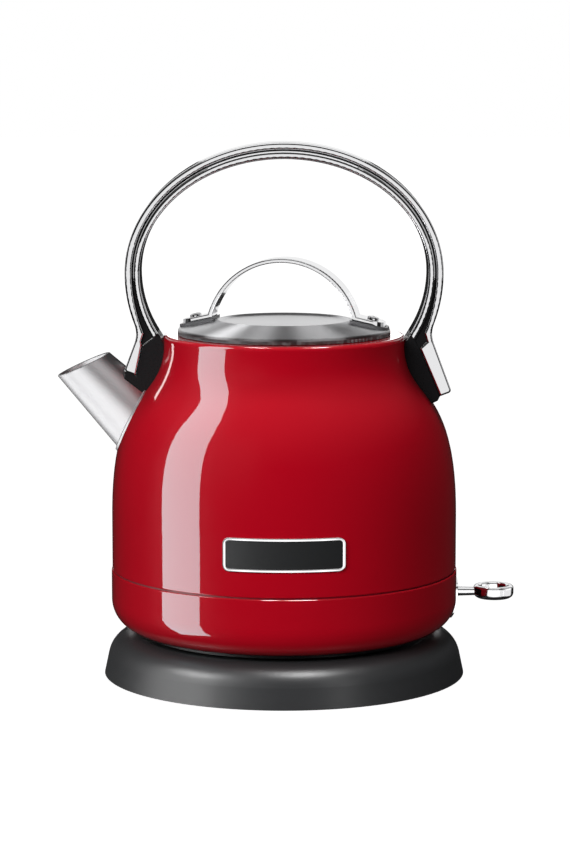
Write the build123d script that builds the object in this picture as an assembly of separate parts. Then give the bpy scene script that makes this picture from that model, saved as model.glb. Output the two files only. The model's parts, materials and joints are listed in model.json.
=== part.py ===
from build123d import *
import os
from math import cos, radians, sin, sqrt, tan

# A cordless electric kettle on its power base. Sizes are in millimetres and angles in degrees.
# The origin is on the table under the middle of the base. +Z is up, the spout points to -X, the
# switch lever to +X, and the badge faces -Y.

# Clearances
FIT = 0.1  # fixed pieces that seat in one another
RUNNING = 0.05  # a pin in its bore, on the radius
FREE = 0.4  # pieces that move past one another

# Power base: cover
BASE_RADIUS = 85.4
BASE_HEIGHT = 19.7
BASE_LEAN = 4.1  # how far the side leans in on its way up
BASE_EDGE_RADIUS = 12.0
BASE_WALL = 2.4
DISH_WIDTH = 4.0  # the slope from the crest down to the platform
DISH_DEPTH = 2.0

# Power base: underside
FOOT_STAND = 0.5  # how far the feet hold the rim off the table
FOOT_RADIUS = 5.2
FOOT_COUNT = 4
FOOT_ANGLE = 45.0  # of the first one, from +X
PLATE_WALL = 2.0
PLATE_RECESS = 1.0  # the plate lies this far inside the rim
PLATE_RIM_WIDTH = 13.2  # outside the cord store
CHANNEL_WIDTH = 29.0  # of the cord store
CHANNEL_DEPTH = 10.4
HOOK_REACH = 10.0
HOOK_WIDTH = 16.0
HOOK_COUNT = 4
HOOK_ANGLE = 45.0
CORD_SLOT_WIDTH = 8.0
CORD_SLOT_HEIGHT = 8.8
GROMMET_BORE = 3.2  # radius
GROMMET_WALL = 1.2
GROMMET_FLANGE = 0.6
GROMMET_LENGTH = 5.0
BASE_SCREW_COUNT = 3
BASE_SCREW_ANGLE = 30.0
BASE_BOSS_RADIUS = 3.6

# Connector between base and kettle
TOWER_RADIUS = 16.0
TOWER_RISE = 12.5  # above the platform
TOWER_FLANGE = 6.0  # wider than the tower
CONTACT_PIN_RADIUS = 2.4
CONTACT_RING_RADII = (7.6, 12.0)
CONTACT_WALL = 1.0
CONTACT_GAP = 0.6  # on each side of a contact in its slot
CONTACT_REACH = 11.5  # down from the roof of the socket
SLOT_DEPTH = 17.0
SOCKET_GAP = 1.2  # round the tower
SOCKET_HEADROOM = 1.7

# Kettle: lower housing and underside
STAND_HEIGHT = 4.3  # the housing's underside over the platform
HOUSING_HEIGHT = 28.4
HOUSING_STEP = 0.4  # the housing stands this far outside the body
HOUSING_EDGE_RADIUS = 14.5
HOUSING_WALL = 2.2
HOUSING_LIP_RADIUS = 0.6
HOUSING_FLOOR_WIDTH = 3.1  # the flat ring left under the housing
SEAM_GASKET = 0.6
COVER_FLANGE_WIDTH = 2.8
COVER_FLANGE_THICKNESS = 1.6
COVER_WALL = 2.0
STAND_RING_WIDTH = 4.0
STAND_RING_INSET = 4.0  # inside the stud circle
STUD_INSET = 6.2  # inside the housing's opening
STUD_RADIUS = 2.6
STUD_COUNT = 3
STUD_ANGLE = 60.0

# Kettle: body
BODY_RADIUS = 81.4
BODY_HEIGHT = 110.5
BODY_WALL = 1.0
BODY_LIP_RADIUS = 0.6
SHOULDER_HEIGHT = 82.0  # from the straight wall up to the neck
SHOULDER_PULL = 64.6  # how far the wall goes on before it turns in
NECK_PULL = 28.0
SHOULDER_WIDTH = 24.5  # the neck's step in from the wall
RIM_HEIGHT = 3.5  # straight part over the neck
RIM_RADIUS = 2.0
RIM_WIDTH = 9.4  # from the neck in to the mouth
MOUTH_RING_DEPTH = 9.5
MOUTH_RING_WALL = 1.0
MOUTH_RING_FLANGE = 3.5
SPIGOT_GAP = 0.6
SPIGOT_DEPTH = 6.5

# Kettle: heater, control and steam tube
FLOOR_DROP = 5.0  # the vessel's floor under the seam
FLOOR_WALL = 1.0
FLOOR_RIM = 2.5
SPREADER_GAP = 3.4  # inside the studs
SPREADER_THICKNESS = 3.0
ELEMENT_INSET = 8.0  # inside the spreader's edge
ELEMENT_RADIUS = 3.6
ELEMENT_OPENING = 60.0  # angle left open for the trip lever
TERMINAL_RADIUS = 1.5
TERMINAL_LENGTH = 8.0
CONTROL_RADIUS = 26.0
BIMETAL_RADIUS = 8.0
BIMETAL_THICKNESS = 0.5
BIMETAL_DOME = 0.3
STEAM_TUBE_RADIUS = 4.5
STEAM_TUBE_WALL = 0.9
STEAM_TUBE_INSET = 14.0  # inside the spigot
STEAM_TUBE_ANGLE = 22.6
STEAM_TUBE_RISE = 78.0  # over the floor
STEAM_TUBE_TAIL = 10.0
STEAM_WINDOW_HEIGHT = 8.0
STEAM_WINDOW_WIDTH = 5.0

# Switch lever, its cradle and the trip lever
LEVER_DROP = 11.7  # the lever's axis under the seam
PIVOT_INSET = 11.3  # inside the housing
RING_OVERHANG = 17.8  # the middle of the ring, outside the housing
RING_RADIUS = 9.5
RING_HOLE = 6.2  # radius
RING_HEIGHT = 6.2
RING_ROUNDING = 1.5
RING_OUTER_ROUNDING = 2.6
STEM_RADIUS = 2.65
STEM_TIP_RADIUS = 2.0
LEVER_PIN_RADIUS = 1.5
LEVER_BOSS_RADIUS = 4.0
LEVER_BOSS_WIDTH = 8.4
LEVER_REACH = 12.0  # from the pivot in to the trip lever
LEVER_ARM_HEIGHT = 2.2
LEVER_ARM_WIDTH = 5.0
LEVER_TIP_RADIUS = 1.6
LEVER_TRAVEL = 10.0
EAR_WALL = 2.0
CRADLE_LENGTH = 5.0  # inward of the pivot
CRADLE_DROP = 6.0
CRADLE_RISE = 4.0
TRIP_STANDOFF = 8.5  # its pin, outside the control
TRIP_HEIGHT = 2.8
TRIP_PIN_RADIUS = 1.2
TRIP_BOSS_RADIUS = 3.0
FORK_WALL = 1.2
FORK_LENGTH = 6.5
FORK_OVERHANG = 1.5

# Escutcheon and indicator lens
ESCUTCHEON_WIDTH = 20.0
ESCUTCHEON_LOW = 5.0  # over the underside
ESCUTCHEON_HEIGHT = 17.2
ESCUTCHEON_CORNER = 4.0
ESCUTCHEON_PROUD = 0.8
LENS_RADIUS = 1.6
LENS_RISE = 8.6  # over the underside
LENS_PROUD = 0.3
LENS_LENGTH = 2.3

# Spout and filter
SPOUT_OVERHANG = 13.6  # the middle of the mouth, outside the body
SPOUT_DROP = 14.2  # and under the body's top
SPOUT_ANGLE = 45.0
SPOUT_RADIUS = 12.5  # at the middle of the mouth
SPOUT_TAPER = 5.33  # half angle, wider towards the body
SPOUT_WALL = 1.0
SPOUT_LENGTH = 48.0
SPOUT_LIP_TILT = 24.0
SPOUT_LIP_ROUNDING = 0.4
SPOUT_BEAD = 1.4
SPOUT_BEAD_PROUD = 0.9
GUIDE_WIDTH = 41.0
GUIDE_HEIGHT = 37.0
GUIDE_WALL = 0.8
FILTER_THICKNESS = 2.6
FILTER_BORDER = 3.2
FILTER_TAB = 4.0
FILTER_TAB_WIDTH = 12.0
RAIL_LIP = 2.4
MESH_WALL = 0.6
MESH_COUNT = 9
MESH_WEB = 1.1

# Hoop handle and brackets
HOOP_RISE = 29.3  # the hoop's widest line over the body's top
HOOP_OVERHANG = 17.4  # its widest place, outside the neck
HOOP_ARCH = 61.0  # up from the widest line
HOOP_LEGS = 70.0  # down from the widest line, as the half axis of an ellipse
HOOP_DEPTH = 22.0
OUTER_BAND = 3.3
INNER_BAND = 3.3
INNER_BAND_CROWN = 0.6  # thicker at the top of the arch
CORE_STRIP = 0.6
CORE_SPREAD = 4.0  # the legs of the two bands part below the widest line
CORE_RECESS = 1.6
BAND_ROUNDING = 1.1
INNER_BAND_ROUNDING = 1.5
BAND_END = 1.5  # where the bands meet the brackets, over the body's top
BAND_TAPER = 5.5  # the outer band's legs thin towards the tails
TAIL_ANGLE = 20.5
TAIL_WAIST = 12.0  # radius of the bend from the band to its tail
TAIL_NECK = 3.1  # from the band's end down to where the tail widens
TAIL_NECK_THICKNESS = 2.7
TAIL_SHOULDER = 4.7  # from the band's end down to the tail's root
TAIL_THICKNESS = 5.8
TAIL_END_ROUNDING = 1.6
REAR_TAIL = 29.5
REAR_ROOT = 6.9  # thickness at the root
FRONT_TAIL = 19.0
FRONT_ROOT = 3.6
BRACKET_DEPTH = 20.0
BRACKET_ROUNDING = 0.8
BRACKET_HEEL = 4.5  # the rear bracket below its tail
SADDLE_TOE = 4.5  # the front bracket below its tail
SADDLE_DROP = 12.0
BRACKET_STUD_RADIUS = 1.8
BRACKET_STUD_LENGTH = 5.0
BRACKET_STUD_DROP = 9.5  # under the body's top
HANDLE_SCREW_RADIUS = 1.6
HANDLE_SCREW_HEAD = 3.2
HANDLE_SCREW_LENGTH = 9.0
HANDLE_SCREW_PLACE = 12.0  # down the tail

# Badge
BADGE_WIDTH = 55.4
BADGE_HEIGHT = 15.7
BADGE_RISE = 19.5  # its middle over the body's lower edge
BADGE_CORNER = 3.2
BADGE_FRAME = 1.6
BADGE_PROUD = 1.2
BADGE_PLATE_PROUD = 0.7
BADGE_ROUNDING = 0.65

# Lid
LID_TURN = -10.0  # as it was put down in the photograph
LID_OVERLAP = 2.5  # outside the mouth
LID_LIFT_GAP = 0.3
LID_SIDE = 2.6
LID_SHOULDER_RADIUS = 1.5
LID_SLOPE = 12.5
LID_SLOPE_WIDTH = 19.0  # from the edge in to the top
LID_STEP_WIDTH = 1.5
LID_STEP_DEPTH = 1.0
LID_WALL = 1.0
PLUG_GAP = 1.2  # in the mouth
PLUG_WALL = 2.2
PLUG_FLOOR = 1.6
PLUG_DEPTH = 13.7
PLUG_FLANGE = 1.4
SEAL_HEIGHT = 3.0
SEAL_SEAT = 1.0  # depth of its groove
SEAL_DROP = 6.0
STRAP_INSET = 13.4  # the arch's outside, inside the lid's edge
STRAP_RISE = 36.1  # the top of the arch over the body's top
STRAP_THICKNESS = 2.0
STRAP_WIDTH = 14.0
STRAP_FOOT_MARGIN = 2.0  # left outside the feet
STRAP_FOOT_CORNER = 5.0
STRAP_ROUNDING = 0.6
PAD_HEIGHT = 1.2
PAD_MARGIN = 1.5
LID_SCREW_INSET = 8.5  # inside the lid's edge
LID_SCREW_RADIUS = 1.5
LID_SCREW_HEAD = 2.8
LID_SCREW_DOME = 1.3
LID_NUT_RADIUS = 3.0
LID_NUT_HEIGHT = 2.0

# Screws under the base and the kettle
SCREW_RADIUS = 1.4
SCREW_HEAD_RADIUS = 3.0
SCREW_HEAD_HEIGHT = 1.2
SCREW_LENGTH = 8.0

# Places worked out from the sizes above
PLATFORM = BASE_HEIGHT - DISH_DEPTH
CREST_RADIUS = BASE_RADIUS - BASE_LEAN - BASE_EDGE_RADIUS
PLATE_LOW = FOOT_STAND + PLATE_RECESS
PLATE_TOP = PLATE_LOW + PLATE_WALL
COVER_SLOPE = BASE_LEAN / (BASE_HEIGHT - BASE_WALL - FOOT_STAND)  # of the base cover's inner side
PLATE_RADIUS = BASE_RADIUS - BASE_WALL - FIT - COVER_SLOPE * (PLATE_TOP - FOOT_STAND)
CHANNEL_RADIUS = PLATE_RADIUS - PLATE_RIM_WIDTH
HUB_RADIUS = CHANNEL_RADIUS - CHANNEL_WIDTH
RIM_CIRCLE = (CHANNEL_RADIUS + PLATE_WALL + PLATE_RADIUS) / 2  # feet and screws
CHANNEL_TOP = PLATE_LOW + CHANNEL_DEPTH
CORD_HEIGHT = PLATE_LOW + CHANNEL_DEPTH / 2
TOWER_TOP = PLATFORM + TOWER_RISE
SOCKET_RADIUS = TOWER_RADIUS + SOCKET_GAP
SOCKET_TOP = TOWER_TOP + SOCKET_HEADROOM
CONTACT_LOW = SOCKET_TOP - CONTACT_REACH
UNDERSIDE = PLATFORM + STAND_HEIGHT
HOUSING_RADIUS = BODY_RADIUS + HOUSING_STEP
HOUSING_OPENING = HOUSING_RADIUS - HOUSING_EDGE_RADIUS - HOUSING_FLOOR_WIDTH
STUD_CIRCLE = HOUSING_OPENING - STUD_INSET
STAND_RING_RADIUS = STUD_CIRCLE - STAND_RING_INSET
SPREADER_RADIUS = STUD_CIRCLE - STUD_RADIUS - SPREADER_GAP
ELEMENT_CIRCLE = SPREADER_RADIUS - ELEMENT_INSET
COVER_LOW = UNDERSIDE - COVER_FLANGE_THICKNESS
COVER_TOP = COVER_LOW + COVER_WALL
SEAM = UNDERSIDE + HOUSING_HEIGHT
BODY_LOW = SEAM + SEAM_GASKET
BODY_TOP = BODY_LOW + BODY_HEIGHT
NECK_TOP = BODY_TOP - RIM_HEIGHT
SHOULDER_LOW = NECK_TOP - SHOULDER_HEIGHT
NECK_RADIUS = BODY_RADIUS - SHOULDER_WIDTH
MOUTH_RADIUS = NECK_RADIUS - RIM_WIDTH
SPIGOT_RADIUS = HOUSING_RADIUS - HOUSING_WALL - SPIGOT_GAP
STEAM_TUBE_CIRCLE = SPIGOT_RADIUS - STEAM_TUBE_INSET
FLOOR_TOP = BODY_LOW - FLOOR_DROP
FLOOR_LOW = FLOOR_TOP - FLOOR_WALL
SPREADER_LOW = FLOOR_LOW - SPREADER_THICKNESS
CONTROL_TOP = SPREADER_LOW - BIMETAL_THICKNESS - BIMETAL_DOME - FIT
LEVER_HEIGHT = SEAM - LEVER_DROP
PIVOT_X = HOUSING_RADIUS - PIVOT_INSET
RING_X = HOUSING_RADIUS + RING_OVERHANG
LEVER_TIP_X = PIVOT_X - LEVER_REACH
TRIP_X = CONTROL_RADIUS + TRIP_STANDOFF
HOOP_CENTRE = BODY_TOP + HOOP_RISE
HOOP_HALF_WIDTH = NECK_RADIUS + HOOP_OVERHANG
BAND_LOW = BODY_TOP + BAND_END
LID_LOW = BODY_TOP + LID_LIFT_GAP
LID_RADIUS = MOUTH_RADIUS + LID_OVERLAP
LID_TOP_RADIUS = LID_RADIUS - LID_SLOPE_WIDTH
LID_SCREW_PLACE = LID_RADIUS - LID_SCREW_INSET
STRAP_RADIUS = LID_RADIUS - STRAP_INSET
STRAP_FOOT_END = LID_RADIUS - STRAP_FOOT_MARGIN
LID_SHOULDER = LID_LOW + LID_SIDE
MIDDLE = (Align.CENTER, Align.CENTER, Align.CENTER)
STANDING = (Align.CENTER, Align.CENTER, Align.MIN)


def rounded(*corners):
    """A closed face from corners (x, y), with a third number where a corner is rounded."""
    points = [corner[:2] for corner in corners]
    radii = [corner[2] if len(corner) > 2 else 0 for corner in corners]
    return make_face(FilletPolyline(*points, radius=radii, close=True))


def turned(*corners):
    """A solid of revolution about Z, from corners (radius, height) as in rounded."""
    return revolve(Plane.XZ * rounded(*corners), Axis.Z)


def ring(inner, outer, low, high):
    """A plain ring about Z."""
    return turned((inner, low), (outer, low), (outer, high), (inner, high))


def disc(radius, low, high):
    """A plain disc about Z."""
    return Pos(0, 0, low) * Cylinder(radius, high - low, align=STANDING)


def block(x_low, x_high, half_width, z_low, z_high):
    """A block that lies evenly about the XZ plane."""
    size = (x_high - x_low, 2 * half_width, z_high - z_low)
    return Pos((x_low + x_high) / 2, 0, (z_low + z_high) / 2) * Box(*size, align=MIDDLE)


def cross_pin(radius, length, x, z):
    """A cylinder along Y, with its middle on the XZ plane."""
    return Pos(x, 0, z) * Rot(90, 0, 0) * Cylinder(radius, length)


def slab(face, width):
    """A face drawn in X and Z, given its width in Y about the middle plane."""
    return Pos(0, width / 2, 0) * extrude(Plane.XZ * face, amount=width)


def side_edges(solid):
    """The edges of a slab's two flat sides."""
    sides = [face for face in solid.faces() if abs(face.normal_at().Y) > 0.99]
    return [edge for side in sides for edge in side.edges()]


def around(piece, count, start=0.0):
    """Copies of a piece, evenly spaced about Z."""
    return [Rot(0, 0, start + 360 / count * i) * piece for i in range(count)]


def cut_all(body, cutters):
    """A body less each of several cutters."""
    for cutter in cutters:
        body -= cutter
    return body


def group(pieces):
    """Separate solids that make one node."""
    return Compound(children=[solid for piece in pieces for solid in piece.solids()])


# Power base


def base_form(inset):
    """The outside of the base cover, filled to the axis and drawn in by inset."""
    top = BASE_HEIGHT - inset
    return turned(
        (0, FOOT_STAND),
        (BASE_RADIUS - inset, FOOT_STAND),
        (BASE_RADIUS - BASE_LEAN - inset, top, BASE_EDGE_RADIUS - inset),
        (CREST_RADIUS, top, DISH_DEPTH),
        (CREST_RADIUS - DISH_WIDTH, PLATFORM - inset, DISH_DEPTH),
        (0, PLATFORM - inset),
    )


def cord_slot():
    """The way out for a cord, through the rim on the +Y side."""
    half = CORD_SLOT_WIDTH / 2
    top = FOOT_STAND + CORD_SLOT_HEIGHT
    arch = half * 0.9
    face = rounded((-half, -FOOT_STAND), (half, -FOOT_STAND), (half, top, arch), (-half, top, arch))
    run = extrude(Plane.XZ * face, amount=-(BASE_RADIUS - CHANNEL_RADIUS + 2 * PLATE_WALL))
    return Pos(0, CHANNEL_RADIUS - PLATE_WALL, 0) * run


def base_cover():
    """The domed upper shell, with screw bosses, a hole for the tower and the cord slot."""
    cover = base_form(0) - base_form(BASE_WALL)
    boss = Pos(RIM_CIRCLE, 0, 0) * disc(BASE_BOSS_RADIUS, PLATE_TOP, BASE_HEIGHT)
    pilot = Pos(RIM_CIRCLE, 0, 0) * disc(SCREW_RADIUS + FIT, PLATE_LOW, PLATE_LOW + SCREW_LENGTH + FIT)
    inside = base_form(BASE_WALL / 2)
    for place in around(boss, BASE_SCREW_COUNT, BASE_SCREW_ANGLE):
        cover += place & inside
    cover = cut_all(cover, around(pilot, BASE_SCREW_COUNT, BASE_SCREW_ANGLE))
    return cover - disc(TOWER_RADIUS + FIT, 0, BASE_HEIGHT) - cord_slot()


def base_plate():
    """The underside: a rim for the feet, a channel that stores the cord, and a hub with hooks."""
    plate = turned(
        (0, PLATE_LOW),
        (HUB_RADIUS, PLATE_LOW),
        (HUB_RADIUS, CHANNEL_TOP),
        (CHANNEL_RADIUS, CHANNEL_TOP),
        (CHANNEL_RADIUS, PLATE_LOW),
        (PLATE_RADIUS, PLATE_LOW),
        (PLATE_RADIUS, PLATE_TOP),
        (CHANNEL_RADIUS + PLATE_WALL, PLATE_TOP),
        (CHANNEL_RADIUS + PLATE_WALL, CHANNEL_TOP + PLATE_WALL),
        (HUB_RADIUS - PLATE_WALL, CHANNEL_TOP + PLATE_WALL),
        (HUB_RADIUS - PLATE_WALL, PLATE_TOP),
        (0, PLATE_TOP),
    )
    hook = block(HUB_RADIUS - PLATE_WALL / 2, HUB_RADIUS + HOOK_REACH, HOOK_WIDTH / 2, PLATE_LOW, PLATE_TOP)
    for place in around(hook, HOOK_COUNT, HOOK_ANGLE):
        plate += place
    screw_hole = Pos(RIM_CIRCLE, 0, 0) * disc(SCREW_RADIUS + FIT, 0, PLATE_TOP + 1)
    plate = cut_all(plate, around(screw_hole, BASE_SCREW_COUNT, BASE_SCREW_ANGLE))
    grommet_hole = Pos(0, HUB_RADIUS, CORD_HEIGHT) * Rot(90, 0, 0)
    grommet_hole *= Cylinder(GROMMET_BORE + GROMMET_WALL + FIT, 4 * PLATE_WALL)
    return plate - cord_slot() - grommet_hole


def cord_grommet():
    """The inlet bush in the hub's wall."""
    body = GROMMET_BORE + GROMMET_WALL
    flange = body + GROMMET_FLANGE
    bush = turned(
        (GROMMET_BORE, 0),
        (body, 0),
        (body, GROMMET_LENGTH - GROMMET_WALL),
        (flange, GROMMET_LENGTH - GROMMET_WALL),
        (flange, GROMMET_LENGTH, GROMMET_FLANGE / 2),
        (GROMMET_BORE, GROMMET_LENGTH, GROMMET_FLANGE / 2),
    )
    start = HUB_RADIUS + FIT + GROMMET_WALL - GROMMET_LENGTH
    return Pos(0, start, CORD_HEIGHT) * Rot(-90, 0, 0) * bush


def base_feet():
    """Rubber feet under the plate's rim."""
    foot = turned((0, 0), (FOOT_RADIUS, 0, FOOT_STAND / 2), (FOOT_RADIUS, PLATE_LOW), (0, PLATE_LOW))
    return group(around(Pos(RIM_CIRCLE, 0, 0) * foot, FOOT_COUNT, FOOT_ANGLE))


def pan_screw(length):
    """A pan-head screw that points up, with the underside of its head at the origin."""
    head = turned(
        (0, -SCREW_HEAD_HEIGHT),
        (SCREW_HEAD_RADIUS, -SCREW_HEAD_HEIGHT, SCREW_HEAD_HEIGHT / 2),
        (SCREW_HEAD_RADIUS, 0),
        (0, 0),
    )
    return head + disc(SCREW_RADIUS, 0, length)


def base_screws():
    """Screws through the plate into the cover's bosses."""
    screw = Pos(RIM_CIRCLE, 0, PLATE_LOW) * pan_screw(SCREW_LENGTH)
    return group(around(screw, BASE_SCREW_COUNT, BASE_SCREW_ANGLE))


def contact_slots():
    """The slots in the tower that take the kettle's pin and rings."""
    low = TOWER_TOP - SLOT_DEPTH
    slots = [disc(CONTACT_PIN_RADIUS + CONTACT_GAP, low, TOWER_TOP + 1)]
    half = CONTACT_WALL / 2 + CONTACT_GAP
    slots += [ring(radius - half, radius + half, low, TOWER_TOP + 1) for radius in CONTACT_RING_RADII]
    return slots


def base_tower():
    """The round connector that stands up through the cover."""
    under_cover = PLATFORM - BASE_WALL - FIT
    tower = turned(
        (0, PLATE_TOP),
        (TOWER_RADIUS, PLATE_TOP),
        (TOWER_RADIUS, under_cover - PLATE_WALL),
        (TOWER_RADIUS + TOWER_FLANGE, under_cover - PLATE_WALL),
        (TOWER_RADIUS + TOWER_FLANGE, under_cover),
        (TOWER_RADIUS, under_cover),
        (TOWER_RADIUS, TOWER_TOP, CONTACT_WALL),
        (0, TOWER_TOP),
    )
    return cut_all(tower, contact_slots())


def base_contacts():
    """Brass contacts at the bottom of the tower's slots."""
    low = TOWER_TOP - SLOT_DEPTH
    high = CONTACT_LOW - FREE
    half = CONTACT_WALL / 2 + CONTACT_GAP - FIT
    pieces = [disc(CONTACT_PIN_RADIUS + CONTACT_GAP - FIT, low, high)]
    pieces += [ring(radius - half, radius + half, low, high) for radius in CONTACT_RING_RADII]
    return group(pieces)


def ring_contacts():
    """The pin and rings that hang in the kettle's socket and dip into the tower."""
    half = CONTACT_WALL / 2
    pieces = [disc(CONTACT_PIN_RADIUS, CONTACT_LOW, SOCKET_TOP)]
    pieces += [ring(radius - half, radius + half, CONTACT_LOW, SOCKET_TOP) for radius in CONTACT_RING_RADII]
    return group(pieces)


# Kettle: forms that several pieces follow


def housing_form(grow, lip=0):
    """The outside of the lower housing, filled to the axis, grown all round, with its lip rounded."""
    radius = HOUSING_RADIUS + grow
    low = UNDERSIDE - grow
    return turned((0, low), (radius, low, HOUSING_EDGE_RADIUS + grow), (radius, SEAM, lip), (0, SEAM))


def shoulder(grow):
    """The curve from the straight wall in to the neck, grown outwards."""
    wall = BODY_RADIUS + grow
    neck = NECK_RADIUS + grow
    return Bezier(
        (wall, SHOULDER_LOW),
        (wall, SHOULDER_LOW + SHOULDER_PULL),
        (neck, NECK_TOP - NECK_PULL),
        (neck, NECK_TOP),
    )


def body_form(grow):
    """The outside of the body, filled to the axis and grown outwards."""
    wall = BODY_RADIUS + grow
    neck = NECK_RADIUS + grow
    rest = Polyline(
        (neck, NECK_TOP),
        (neck, BODY_TOP),
        (0, BODY_TOP),
        (0, BODY_LOW),
        (wall, BODY_LOW),
        (wall, SHOULDER_LOW),
    )
    return revolve(Plane.XZ * make_face([rest, shoulder(grow)]), Axis.Z)


def spout_plane():
    """The middle of the mouth, with Z along the spout into the body and X along the kettle's Y."""
    lean = radians(SPOUT_ANGLE)
    mouth = (-BODY_RADIUS - SPOUT_OVERHANG, 0, BODY_TOP - SPOUT_DROP)
    return Plane(mouth, x_dir=(0, 1, 0), z_dir=(cos(lean), 0, -sin(lean)))


def spout_form(grow, length=SPOUT_LENGTH):
    """The spout's cone from well outside the mouth in to length, grown outwards."""
    start = -2 * SPOUT_RADIUS
    spread = tan(radians(SPOUT_TAPER))
    small = SPOUT_RADIUS + start * spread + grow
    large = SPOUT_RADIUS + length * spread + grow
    cone = Cone(small, large, length - start, align=STANDING)
    return spout_plane().offset(start) * cone


# Kettle: shells


def lower_housing():
    """The skirt under the seam, with the lever's slot and a hole for the lens."""
    housing = housing_form(0, HOUSING_LIP_RADIUS) - housing_form(-HOUSING_WALL)
    housing -= disc(HOUSING_OPENING, UNDERSIDE - 1, UNDERSIDE + HOUSING_WALL + 1)
    return housing - lever_slot() - lens_bore()


def seam_gasket():
    """The thin dark ring in the seam."""
    return ring(SPIGOT_RADIUS + FIT, BODY_RADIUS - SEAM_GASKET, SEAM, BODY_LOW)


def body_shell():
    """The vessel wall: straight, then shouldered in to the neck, with a turned-in rim."""
    inner = BODY_RADIUS - BODY_WALL
    neck = NECK_RADIUS - BODY_WALL
    low = BODY_LOW - SPIGOT_DEPTH
    outside = FilletPolyline(
        (SPIGOT_RADIUS, low),
        (SPIGOT_RADIUS, BODY_LOW),
        (BODY_RADIUS, BODY_LOW),
        (BODY_RADIUS, SHOULDER_LOW),
        radius=[0, BODY_LIP_RADIUS],
    )
    lip = MOUTH_RADIUS + MOUTH_RING_WALL + FIT
    rim = FilletPolyline(
        (NECK_RADIUS, NECK_TOP),
        (NECK_RADIUS, BODY_TOP),
        (lip, BODY_TOP),
        (lip, BODY_TOP - BODY_WALL),
        (neck, BODY_TOP - BODY_WALL),
        (neck, NECK_TOP),
        radius=[RIM_RADIUS, 0, 0, RIM_RADIUS - BODY_WALL],
    )
    inside = Polyline(
        (inner, SHOULDER_LOW),
        (inner, BODY_LOW + BODY_WALL),
        (SPIGOT_RADIUS - BODY_WALL, BODY_LOW + BODY_WALL),
        (SPIGOT_RADIUS - BODY_WALL, low),
        (SPIGOT_RADIUS, low),
    )
    face = make_face([outside, shoulder(0), rim, shoulder(-BODY_WALL), inside])
    return revolve(Plane.XZ * face, Axis.Z) - spout_form(FIT)


def mouth_ring():
    """The steel ring in the mouth that the lid's seal meets, with a flange under the rim."""
    outer = MOUTH_RADIUS + MOUTH_RING_WALL
    seat = BODY_TOP - BODY_WALL
    return turned(
        (MOUTH_RADIUS, BODY_TOP - MOUTH_RING_DEPTH),
        (outer, BODY_TOP - MOUTH_RING_DEPTH),
        (outer, seat - MOUTH_RING_WALL),
        (outer + MOUTH_RING_FLANGE, seat - MOUTH_RING_WALL),
        (outer + MOUTH_RING_FLANGE, seat),
        (outer, seat),
        (outer, BODY_TOP),
        (MOUTH_RADIUS, BODY_TOP, MOUTH_RING_WALL / 2),
    )


def vessel_floor():
    """The floor of the vessel, with a turned-down rim and a hole for the steam tube."""
    radius = SPIGOT_RADIUS - BODY_WALL - FIT
    floor = turned(
        (0, FLOOR_LOW),
        (radius - FLOOR_WALL, FLOOR_LOW),
        (radius - FLOOR_WALL, FLOOR_TOP - FLOOR_RIM),
        (radius, FLOOR_TOP - FLOOR_RIM),
        (radius, FLOOR_TOP, FLOOR_WALL),
        (0, FLOOR_TOP),
    )
    hole = disc(STEAM_TUBE_RADIUS + FIT, FLOOR_LOW - 1, FLOOR_TOP + 1)
    return floor - steam_place() * hole


def bottom_cover():
    """The underside: a flange that clamps the housing, a stand ring and the socket's mouth."""
    opening = HOUSING_OPENING - FIT
    cover = turned(
        (SOCKET_RADIUS, COVER_LOW),
        (HOUSING_OPENING + COVER_FLANGE_WIDTH, COVER_LOW),
        (HOUSING_OPENING + COVER_FLANGE_WIDTH, UNDERSIDE),
        (opening, UNDERSIDE),
        (opening, COVER_TOP + COVER_WALL),
        (opening - COVER_WALL, COVER_TOP + COVER_WALL),
        (opening - COVER_WALL, COVER_TOP),
        (SOCKET_RADIUS, COVER_TOP),
    )
    cover += ring(STAND_RING_RADIUS - STAND_RING_WIDTH, STAND_RING_RADIUS, PLATFORM, COVER_LOW)
    hole = Pos(STUD_CIRCLE, 0, 0) * disc(SCREW_RADIUS + FIT, COVER_LOW - 1, COVER_TOP + 1)
    sink = disc(SCREW_HEAD_RADIUS + FIT, COVER_LOW - 1, COVER_LOW + SCREW_HEAD_HEIGHT)
    return cut_all(cover, around(hole + Pos(STUD_CIRCLE, 0, 0) * sink, STUD_COUNT, STUD_ANGLE))


def floor_studs():
    """Posts under the vessel's floor that the bottom cover is screwed to."""
    post = disc(STUD_RADIUS, COVER_TOP, FLOOR_LOW)
    post -= disc(SCREW_RADIUS + FIT, COVER_TOP - 1, COVER_LOW + SCREW_HEAD_HEIGHT + SCREW_LENGTH + FIT)
    return group(around(Pos(STUD_CIRCLE, 0, 0) * post, STUD_COUNT, STUD_ANGLE))


def bottom_screws():
    """Screws through the bottom cover into the studs."""
    screw = Pos(STUD_CIRCLE, 0, COVER_LOW + SCREW_HEAD_HEIGHT) * pan_screw(SCREW_LENGTH)
    return group(around(screw, STUD_COUNT, STUD_ANGLE))


# Kettle: heater and control


def heat_spreader():
    """The aluminium plate under the floor."""
    return disc(SPREADER_RADIUS, SPREADER_LOW, FLOOR_LOW)


def element_height():
    """The height of the element's middle, just under the spreader."""
    return SPREADER_LOW - ELEMENT_RADIUS - RUNNING


def heating_element():
    """A sheathed element bent into an open ring."""
    section = Plane.XZ * Pos(ELEMENT_CIRCLE, element_height()) * Circle(ELEMENT_RADIUS)
    bent = revolve(section, Axis.Z, revolution_arc=360 - ELEMENT_OPENING)
    return Rot(0, 0, ELEMENT_OPENING / 2) * bent


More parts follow.
